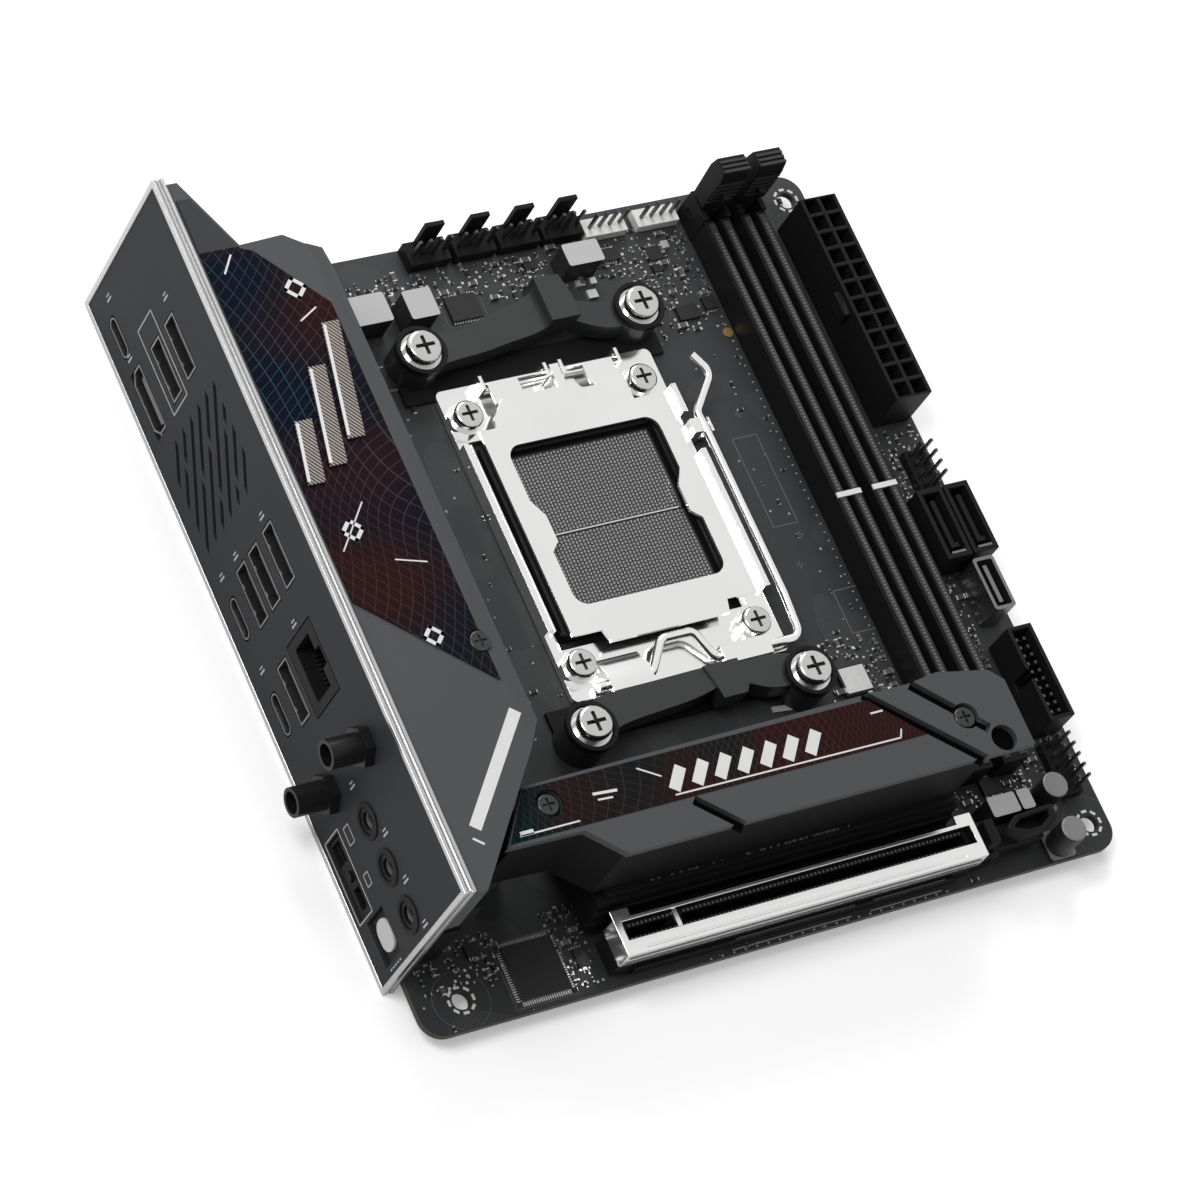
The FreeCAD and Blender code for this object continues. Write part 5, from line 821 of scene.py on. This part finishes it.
lever = grown("lever_wire", path_mesh, wire_tree(),
              {"Wire Radius": 1.0 * MM, "Bend Radius": 2.4 * MM}, steel, "load_lever", ("load_lever",))
shade(lever.data)

contacts_low, contacts_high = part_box("socket_contacts")
CONTACT_PITCH = 0.84
CONTACT_EDGE = 0.6
COLUMN_STEP = 0.2
DIVIDER_HALF = 0.7
spring_rows = []
wide = (contacts_high.x - contacts_low.x) / MM
deep = (contacts_high.y - contacts_low.y) / MM
first_x = (contacts_low.x - board_low.x) / MM + CONTACT_EDGE
first_y = (contacts_low.y - board_low.y) / MM + CONTACT_EDGE
for column in range(int((wide - 0.8) / CONTACT_PITCH) + 1):
    for row in range(int((deep - 0.8) / CONTACT_PITCH) + 1):
        x = first_x + CONTACT_PITCH * column
        y = first_y + CONTACT_PITCH * row + (column % 2) * COLUMN_STEP
        if abs(y - first_y - deep / 2 + CONTACT_EDGE) > DIVIDER_HALF:
            spring_rows.append(((x, y, 2.35), (0.40, 0.5, 0.34), (18, 0, 0)))
parts("contact_springs", spring_rows, contact_metal, "socket_contacts")
parts("contact_divider", [slab(first_x, first_x + wide - 2 * CONTACT_EDGE, 96.95, 97.25, 2.3, 2.6)],
      tin, "socket_contacts")

BRACKET_SCREWS = ((58.5, 52.1), (112.5, 52.1), (58.5, 142.1), (112.5, 142.1))
softened("upper_cooler_bracket", 1.2, satin_black, 4)
softened("lower_cooler_bracket", 1.2, satin_black, 4)
# Black sheets on the board between each cooler bracket and the socket frame.
parts("socket_films", [slab(54.0, 118.0, 133.5, 141.0, 0.05, 0.95),
                       slab(54.0, 118.0, 52.0, 60.0, 0.05, 0.95)], black_plastic, "socket_backplate")
FRAME_SCREWS = ((64.5, 67.1), (107.7, 67.1), (64.5, 127.1), (107.7, 127.1))
# Black crosses on the screw heads: painted shade in their cross recesses.
recess_shade_rows = []
for places, level, reach, width in ((BRACKET_SCREWS, 9.5, 5.2, 1.0), (FRAME_SCREWS, 4.85, 4.15, 0.8)):
    for x, y in places:
        recess_shade_rows += [((x, y, level), (reach, width, 0.1)), ((x, y, level), (width, reach, 0.1))]
parts("screw_recesses", recess_shade_rows, part_black, "bracket_screws")
collars = [((x, y, 7.1), 4.75, 5.75, 1.5) for x, y in BRACKET_SCREWS]
rings("upper_collars", collars[2:], black_plastic, "upper_cooler_bracket")
rings("lower_collars", collars[:2], black_plastic, "lower_cooler_bracket")

# ---- Memory and expansion slots --------------------------------------------------
# Long moulded slots soldered along the board, with two ribbed rows of contacts each and
# hinged latches at their far ends. The expansion slot has a folded steel shell.
rib_grey = finish("rib_grey", (0.030, 0.030, 0.031), 0.5, specular=0.3)
tick_grey = finish("tick_grey", (0.16, 0.16, 0.16), 0.45, metallic=0.3)
white_plastic = finish("white_plastic", (0.62, 0.62, 0.60), 0.5, tone=0.05)
SLOT_X = (140.5, 149.8)
CONTACT_ROW = 1.9
FIRST_CONTACT_Y = 25.0
SLOT_PITCH = 0.85
KEY_Y = 89.0
for number, x in enumerate(SLOT_X, 1):
    slot_node = "memory_slot_%d" % number
    latch_node = "memory_latch_%d" % number
    softened(slot_node, 0.2, black_plastic)
    softened(latch_node, 0.3, black_plastic)
    ribs = []
    ticks = []
    for side in (-CONTACT_ROW, CONTACT_ROW):
        ribs.append(slab(x + side - 0.75, x + side + 0.75, 22.5, 157.8, 7.95, 8.25))
        for k in range(154):
            y = FIRST_CONTACT_Y + SLOT_PITCH * k
            if abs(y - KEY_Y) > 1.4:
                ticks.append(((x + side, y, 8.27), (0.5, 0.4, 0.08)))
    parts("slot_ribs_%d" % number, ribs, rib_grey, slot_node)
    parts("slot_contacts_%d" % number, ticks, tick_grey, slot_node)
    parts("slot_key_%d" % number, [slab(x - 3.1, x + 3.1, KEY_Y - 0.6, KEY_Y + 0.6, 7.9, 8.4)],
          white_plastic, slot_node)
    grip = [slab(x - 3.3, x + 3.3, 161.6 + 1.2 * k, 162.2 + 1.2 * k, 22.9, 23.35) for k in range(3)]
    grip += [slab(x - 3.3, x + 3.3, 160.85, 161.25, 12.0 + 1.6 * k, 12.7 + 1.6 * k) for k in range(5)]
    parts("latch_ribs_%d" % number, grip, rib_grey, latch_node)
softened("expansion_slot", 0.15, black_plastic)
softened("expansion_slot_shell", 0.12, steel)
softened("expansion_latch", 0.4, black_plastic)
slot_ticks = []
FIRST_CONTACT_X = 46.0
KEY_X = 56.6
for k in range(82):
    x = FIRST_CONTACT_X + k
    if abs(x - KEY_X) > 1.6:
        slot_ticks.append(((x, 6.0, 9.25), (0.4, 0.6, 0.12)))
        slot_ticks.append(((x + 0.5, 9.0, 9.25), (0.4, 0.5, 0.12)))
parts("expansion_contacts", slot_ticks, tick_grey, "expansion_slot")
parts("expansion_key", [slab(56.0, 57.0, 5.5, 9.5, 9.2, 10.9)], steel, "expansion_slot_shell")
# Grey strips along the shell's near face: painted shade along its folds.
parts("shell_folds", [slab(43.5, 129.8, 2.1, 2.24, z, z + 0.3) for z in (7.0, 9.2)], tick_grey,
      "expansion_slot_shell")
parts("expansion_rules", [slab(71.7, 101.0, 2.0, 2.3, 3.0, 3.06),
                          slab(105.7, 123.8, 2.0, 2.3, 3.0, 3.06)], tick_grey, "expansion_slot")

# ---- Rear panel and ports ----------------------------------------------------------
# A painted steel panel in a bright edge frame, with the ports standing in its cut-outs.
# Thin printed frames mark some of them; the names beside the ports are left off.
panel_paint = finish("panel_paint", (0.021, 0.022, 0.024), 0.55, tone=0.1, grain=0.02, specular=0.15)
rim_metal = finish("rim_metal", (0.55, 0.55, 0.55), 0.28, metallic=1.0, tone=0.06)
shell_metal = finish("shell_metal", (0.22, 0.22, 0.22), 0.35, metallic=1.0)
black_brass = finish("black_brass", (0.012, 0.012, 0.012), 0.35, metallic=0.4, specular=0.3)
pale_plastic = finish("pale_plastic", (0.50, 0.50, 0.49), 0.5, tone=0.05)
panel_print = finish("panel_print", (0.42, 0.42, 0.42), 0.6, tone=0.1)
dress("rear_panel", panel_paint)
softened("rear_panel_rim", 0.15, rim_metal)
parts("rim_grooves", [slab(x, x + 0.25, 13.6, 174.2, 42.4, 42.56) for x in (-2.1, -1.2)],
      shell_metal, "rear_panel_rim")
for node in ("usb_a_shells", "usb_c_ports", "video_port"):
    dress(node, shell_metal)
for node in ("usb_a_bodies", "network_port", "audio_jacks", "port_block", "small_button"):
    dress(node, black_plastic)
for node in ("antenna_connectors", "antenna_nuts"):
    dress(node, black_brass)
softened("large_button", 0.3, pale_plastic)
PANEL_FACE = -2.55


def panel_line(y0, z0, y1, z1, width=0.25):
    """A row for a thin strip printed on the panel's outer face."""
    angle = math.degrees(math.atan2(z1 - z0, y1 - y0))
    length = math.hypot(y1 - y0, z1 - z0)
    return (PANEL_FACE - 0.02, (y0 + y1) / 2, (z0 + z1) / 2), (0.06, length, width), (angle, 0, 0)


def panel_frame(y0, y1, z0, z1, width=0.25):
    return [panel_line(y0, z0, y1, z0, width), panel_line(y0, z1, y1, z1, width),
            panel_line(y0, z0, y0, z1, width), panel_line(y1, z0, y1, z1, width)]


USB_PORTS = ((145.8, 15.9), (145.8, 25.1), (95.7, 11.3), (95.7, 19.0), (95.7, 28.0), (73.6, 11.0))
print_rows = panel_frame(137.6, 157.6, 11.2, 19.9) + panel_frame(27.4, 45.6, -2.5, 4.9)
print_rows += panel_frame(40.6, 44.4, 7.2, 9.8, 0.2) + panel_frame(31.4, 34.0, 7.2, 9.4, 0.2)
print_rows += [panel_line(15.4, 2.0 + 1.3 * k, 15.4, 2.8 + 1.3 * k, 0.3) for k in range(5)]
PORT_MARKS = ((104.2, 2.3), (104.2, 11.3), (104.2, 28.0), (82.6, 2.3), (82.6, 22.4), (155.6, 3.3),
              (169.0, 5.4), (48.6, 17.9), (35.8, 22.6), (25.5, 22.6), (15.8, 22.6), (155.6, 27.8))
for y, z in PORT_MARKS:
    print_rows += [panel_line(y, z - 1.2, y, z + 1.2, 0.4),
                   panel_line(y + 0.9, z - 0.7, y + 0.9, z + 0.9, 0.3)]
parts("panel_marks", print_rows, panel_print, "rear_panel")
spring_rows = []
pin_rows = []
for y, z in USB_PORTS:
    spring_rows += [slab(-2.4, 3.0, y + d - 0.5, y + d + 0.5, z - 2.24, z - 2.05) for d in (-3.0, 3.0)]
    pin_rows += [slab(-1.75, -1.6, y - 4.6, y + 4.6, z + 0.25, z + 1.55)]
parts("port_springs", spring_rows, shell_metal, "usb_a_shells")
tongue_grey = finish("tongue_grey", (0.022, 0.022, 0.023), 0.4)
parts("port_tongue_fronts", pin_rows, tongue_grey, "usb_a_bodies")
JACKS = ((41.0, 17.9), (30.7, 17.9), (20.3, 17.9))
rings("port_collars", [((PANEL_FACE + 0.05, y, z), 2.9, 3.95, 0.4) for y, z in JACKS],
      black_plastic, "audio_jacks", "x")
rings("jack_contacts", [((PANEL_FACE + 1.6, y, z), 1.72, 2.0, 0.8) for y, z in JACKS],
      tick_grey, "audio_jacks", "x")
contact_gold = finish("contact_gold", (0.55, 0.45, 0.26), 0.3, metallic=1.0)
wire_places = [73.0 + 1.02 * (k - 3.5) for k in range(8)]
parts("network_contacts", [slab(0.4, 6.0, y - 0.16, y + 0.16, 19.0, 19.3) for y in wire_places],
      contact_gold, "network_port")

# ---- Rear cover -----------------------------------------------------------------------
# A painted cover over the ports. A glossy printed sheet with a plain lattice lies in it,
# with a hatched metal emblem of three slanted bars stuck on top.
cover_paint = finish("cover_paint", (0.056, 0.058, 0.061), 0.55, tone=0.08, grain=0.015, specular=0.25)


def art_group():
    """Dark teal, wine and navy fields under a thin lattice of slanted lines."""
    group, start, end = node_group(
        "art_print", [("Vector", "NodeSocketVector", None), ("Lines", "NodeSocketFloat", 230.0),
                      ("Warmth", "NodeSocketFloat", 0.5)],
        [("Color", "NodeSocketColor")])
    vector = start.outputs["Vector"]
    spot = split(group, vector)
    drift = maths(group, "MULTIPLY", noise(group, vector, 16.0, 1.0), 0.055)
    warm = ramp(group, noise(group, vector, 22.0, 1.0),
                maths(group, "SUBTRACT", 0.92, start.outputs["Warmth"]),
                maths(group, "SUBTRACT", 1.08, start.outputs["Warmth"]))
    cool = ramp(group, noise(group, vector, 9.0, 0.0), 0.42, 0.58)
    cold = mixed(group, cool, (0.0016, 0.0075, 0.0085), (0.0018, 0.0035, 0.011))
    field = mixed(group, warm, cold, (0.019, 0.0055, 0.0055))
    masks = []
    for direction in ("ADD", "SUBTRACT"):
        run = maths(group, direction, maths(group, "ADD", spot["X"], drift),
                    maths(group, "MULTIPLY", spot["Y"], 0.62))
        phase = maths(group, "FRACT", maths(group, "MULTIPLY", run, start.outputs["Lines"]))
        off_middle = maths(group, "ABSOLUTE", maths(group, "SUBTRACT", phase, 0.5))
        masks.append(maths(group, "GREATER_THAN", off_middle, 0.468))
    either = maths(group, "MAXIMUM", masks[0], masks[1])
    fade = maths(group, "MULTIPLY", noise(group, vector, 30.0, 1.0), 0.6)
    share = maths(group, "MULTIPLY", either, fade)
    ink = mixed(group, warm, (0.05, 0.13, 0.135), (0.11, 0.055, 0.05))
    group.links.new(mixed(group, share, field, ink), end.inputs["Color"])
    return group


ART = art_group()


def art_look(lines, axis, start, stop, far_end=None):
    """The print: along X or Y its warmth runs between two pairs of a place and a warmth.

    Beyond far_end the sheet is plain paint."""
    def pattern(tree, place, base):
        spot = split(tree, place.outputs["Object"])
        low = getattr(at(start[0], start[0]), axis.lower())
        high = getattr(at(stop[0], stop[0]), axis.lower())
        art = tree.nodes.new("ShaderNodeGroup")
        art.node_tree = ART
        tree.links.new(place.outputs["Object"], art.inputs["Vector"])
        tree.links.new(ramp(tree, spot[axis], low, high, start[1], stop[1]), art.inputs["Warmth"])
        art.inputs["Lines"].default_value = lines
        if far_end is None:
            return art.outputs["Color"]
        beyond = maths(tree, "GREATER_THAN", spot["Y"], at(0, far_end).y)
        return mixed(tree, beyond, art.outputs["Color"], (0.045, 0.047, 0.050))
    return pattern


def hatched(tree, place, base):
    """Fine slanted grooves cut in the metal."""
    spot = split(tree, place.outputs["Object"])
    run = maths(tree, "ADD", maths(tree, "MULTIPLY", spot["X"], 1.3), spot["Y"])
    phase = maths(tree, "FRACT", maths(tree, "MULTIPLY", run, 900.0))
    return mixed(tree, maths(tree, "GREATER_THAN", phase, 0.5), base, (0.05, 0.045, 0.042))


cover_art = finish("cover_art", (0.01, 0.02, 0.02), 0.25, specular=0.06,
                   pattern=art_look(400.0, "Y", (62.0, 0.30), (100.0, 0.52), 157.5))
emblem_metal = finish("emblem_metal", (0.38, 0.34, 0.31), 0.35, metallic=0.9, pattern=hatched)
black_sink = finish("black_sink", (0.006, 0.006, 0.007), 0.55, tone=0.15, specular=0.08)
white_print = finish("white_print", (0.62, 0.62, 0.61), 0.5, tone=0.12, tone_scale=300.0)
softened("rear_cover", 0.4, cover_paint)
dress("cover_art_panel", cover_art)
softened("cover_emblem", 0.15, emblem_metal)
dress("cover_screw", satin_black)
dress("power_heatsink", black_sink)
dress("power_stages", part_black)
pad_grey = finish("thermal_pad", (0.2, 0.21, 0.23), 0.8)
dress("thermal_pad", pad_grey)
emblem_edges = []
EMBLEM_BARS = ((2.6, 103.0, 14.0), (8.8, 106.0, 22.0), (15.0, 111.0, 26.0))
for x, y, length in EMBLEM_BARS:
    far_x = x + length * 0.2
    emblem_edges.append(line(x + 0.35, y + 0.6, far_x + 0.35, y + length - 0.6, 0.7, 41.1, 0.25))
parts("emblem_edges", emblem_edges, steel, "cover_emblem")
ART_FACE = 40.35
mark_rows = []
DIAMONDS = ((18.4, 146.0, 2.2), (8.0, 92.0, 2.2), (15.0, 66.5, 2.0))
for x, y, reach in DIAMONDS:
    ends = ((x - reach, y), (x, y + reach), (x + reach, y), (x, y - reach))
    for (x0, y0), (x1, y1) in zip(ends, ends[1:] + ends[:1]):
        share = 0.42 / math.hypot(x1 - x0, y1 - y0)
        over_x = (x1 - x0) * share
        over_y = (y1 - y0) * share
        mark_rows.append(line(x0 - over_x, y0 - over_y, x1 + over_x, y1 + over_y, 0.85, ART_FACE))
mark_rows += [line(21.0, 141.0, 16.5, 138.6, 0.35, ART_FACE), line(4.2, 88.0, 12.5, 97.5, 0.3, ART_FACE),
              line(8.0, 156.0, 5.0, 152.0, 0.4, ART_FACE), line(14.0, 84.0, 20.5, 82.0, 0.3, ART_FACE)]
parts("art_marks", mark_rows, white_print, "cover_art_panel")
label_rows = [line(6.3, 26.3, 25.0, 47.6, 2.6, 40.0), line(4.9, 24.4, 6.8, 22.7, 0.5, 40.0)]
parts("cover_label", label_rows, white_print, "rear_cover")

# ---- Drive tower ----------------------------------------------------------------------
# Two black heatsinks with a drive board between them, under a painted top plate with
# slanted grooves. A printed strip with plain slanted bars is let into the plate.
GROOVES = (((113.6, 24.5, 34.3), (29.0, 2.4, 1.9), (0, 0, -43.9)),
           ((121.3, 27.4, 34.3), (18.8, 2.4, 1.9), (0, 0, -45.4)),
           ((60.9, 18.1, 34.3), (11.8, 2.2, 1.9), (0, 0, -43.5)))
NOTCH = ((130.2, 18.0, 34.3), (5.8, 5.8, 1.9), (0, 0, 0), "round")
GROOVE_FLOOR = 33.42
softened("tower_top_plate", 0.25, cover_paint, grooves=(*GROOVES, NOTCH))
# Near-black sheets on the floors of the grooves and the notch: painted shade where they lie in shadow.
painted_groove_shade = finish("painted_groove_shade", (0.002, 0.002, 0.002), 0.8, specular=0.02)
groove_shade_rows = []
for (x, y, _), (length, width, _), turn in GROOVES:
    groove_shade_rows.append(((x, y, GROOVE_FLOOR), (length - 0.6, width - 0.1, 0.1), turn))
parts("groove_floors", groove_shade_rows, painted_groove_shade, "tower_heatsink")
parts("notch_floor", [((*NOTCH[0][:2], GROOVE_FLOOR), (5.7, 5.7, 0.1))], painted_groove_shade,
      "tower_heatsink", True, 28)
tower_art = finish("tower_art", (0.01, 0.02, 0.02), 0.25, specular=0.06,
                   pattern=art_look(520.0, "X", (25.0, 0.36), (58.0, 0.75)))
softened("tower_heatsink", 0.5, black_sink)
softened("tower_base", 0.4, black_sink)
for node, material in (("tower_art_strip", tower_art), ("riser_board", black_plastic),
                       ("tower_screws", satin_black), ("tower_standoffs", screw_metal),
                       ("drive_socket", black_plastic), ("chipset", part_black)):
    dress(node, material)
STRIP_FACE = 35.1
BAR_PITCH = 5.4
RULES = ((53.2, 24.1, 107.2, 23.6, 0.35), (107.2, 23.6, 108.2, 25.4, 0.35),
         (47.5, 31.5, 52.0, 28.6, 0.35), (17.4, 24.0, 31.0, 24.0, 0.35), (17.6, 24.4, 20.6, 24.4, 1.0),
         (103.0, 30.2, 106.0, 30.2, 0.4), (36.0, 28.6, 41.5, 28.2, 0.6), (36.6, 27.2, 40.0, 27.0, 0.4))
bar_rows = []
for k in range(7):
    bar_rows.append(line(53.5 + BAR_PITCH * k, 25.2, 56.9 + BAR_PITCH * k, 29.6, 2.5, STRIP_FACE))
for rule in RULES:
    bar_rows.append(line(*rule, STRIP_FACE))
parts("strip_marks", bar_rows, white_print, "tower_art_strip")
draw = random.Random(7)
speck_rows = []
for low, high, longest, width, count in ((52, 70, 0.7, 0.3, 14), (75, 101, 0.8, 0.4, 26)):
    for k in range(count):
        x = draw.uniform(low, high)
        speck_rows.append(((x, 15.3, 14.25), (draw.uniform(0.2, longest), width, 0.1)))
parts("riser_solder", speck_rows, tick_grey, "riser_board")

# ---- Connectors on the board ------------------------------------------------------------
# Moulded headers and sockets along the edges, with plated pins, and the chokes and
# capacitors of the power supply.


def pale_topped(tree, place, base):
    """Chokes and cans: faces that look up are paler than the darker sides."""
    return mixed(tree, facing_up(tree, place), (0.020, 0.020, 0.021), base)


choke_grey = finish("choke_grey", (0.42, 0.42, 0.42), 0.6, tone=0.10, pattern=pale_topped)
can_grey = finish("can_grey", (0.20, 0.20, 0.205), 0.4, metallic=0.3, tone=0.12, pattern=pale_topped)
dark_pins = finish("dark_pins", (0.10, 0.10, 0.10), 0.3, metallic=0.9)
HEADERS = (("main_power_connector", 0.2), ("processor_power_connector", 0.2), ("fan_headers", 0.15),
           ("light_headers", 0.15), ("front_panel_header", 0.15), ("edge_header", 0.15),
           ("storage_ports", 0.2), ("front_usb_header", 0.2))
for node, width in HEADERS:
    softened(node, width, white_plastic if node == "light_headers" else black_plastic)
dress("header_pins", dark_pins)
dress("front_usb_c_header", shell_metal)
dress("chokes", choke_grey)
dress("capacitors", can_grey)
CELL_PITCH = 4.28
FIRST_CELL = (159.8, 105.8)
cell_pins = []
for column in range(2):
    for row in range(12):
        x = FIRST_CELL[0] + CELL_PITCH * (column + 0.5)
        y = FIRST_CELL[1] + CELL_PITCH * (row + 0.5)
        cell_pins.append(((x, y, 6.0), (0.9, 0.9, 5.0)))
parts("main_power_pins", cell_pins, dark_pins, "main_power_connector")
parts("port_ridges", [slab(x, x + 3.6, 69.5, 70.0, 9.0, 9.1) for x in (157.4, 164.3)], tick_grey,
      "storage_ports")

# ---- Floor --------------------------------------------------------------------------------
# A wide pale floor just under the lowest point. The camera sees it a little brighter than
# the lamps make it, by a glow that lights nothing else.
FLOOR_SIZE = 6.0
FLOOR_LIFT = 0.26
FLOOR_GAP = 0.0002
floor_mesh = bpy.data.meshes.new("floor")
half = FLOOR_SIZE / 2
level = cad_box[0].z - FLOOR_GAP
floor_mesh.from_pydata([(-half, -half, level), (half, -half, level), (half, half, level),
                        (-half, half, level)], [], [(0, 1, 2, 3)])
floor = placed("floor", floor_mesh)
floor_paint = bpy.data.materials.new("floor_paint")
floor_paint.use_nodes = True
floor_tree = floor_paint.node_tree
floor_shader = floor_tree.nodes["Principled BSDF"]
floor_shader.inputs["Base Color"].default_value = (0.9, 0.9, 0.9, 1)
floor_shader.inputs["Roughness"].default_value = 0.9
floor_shader.inputs["Emission Color"].default_value = (1.0, 1.0, 1.0, 1.0)
path = floor_tree.nodes.new("ShaderNodeLightPath")
floor_tree.links.new(maths(floor_tree, "MULTIPLY", path.outputs["Is Camera Ray"], FLOOR_LIFT),
                     floor_shader.inputs["Emission Strength"])
floor_mesh.materials.append(floor_paint)
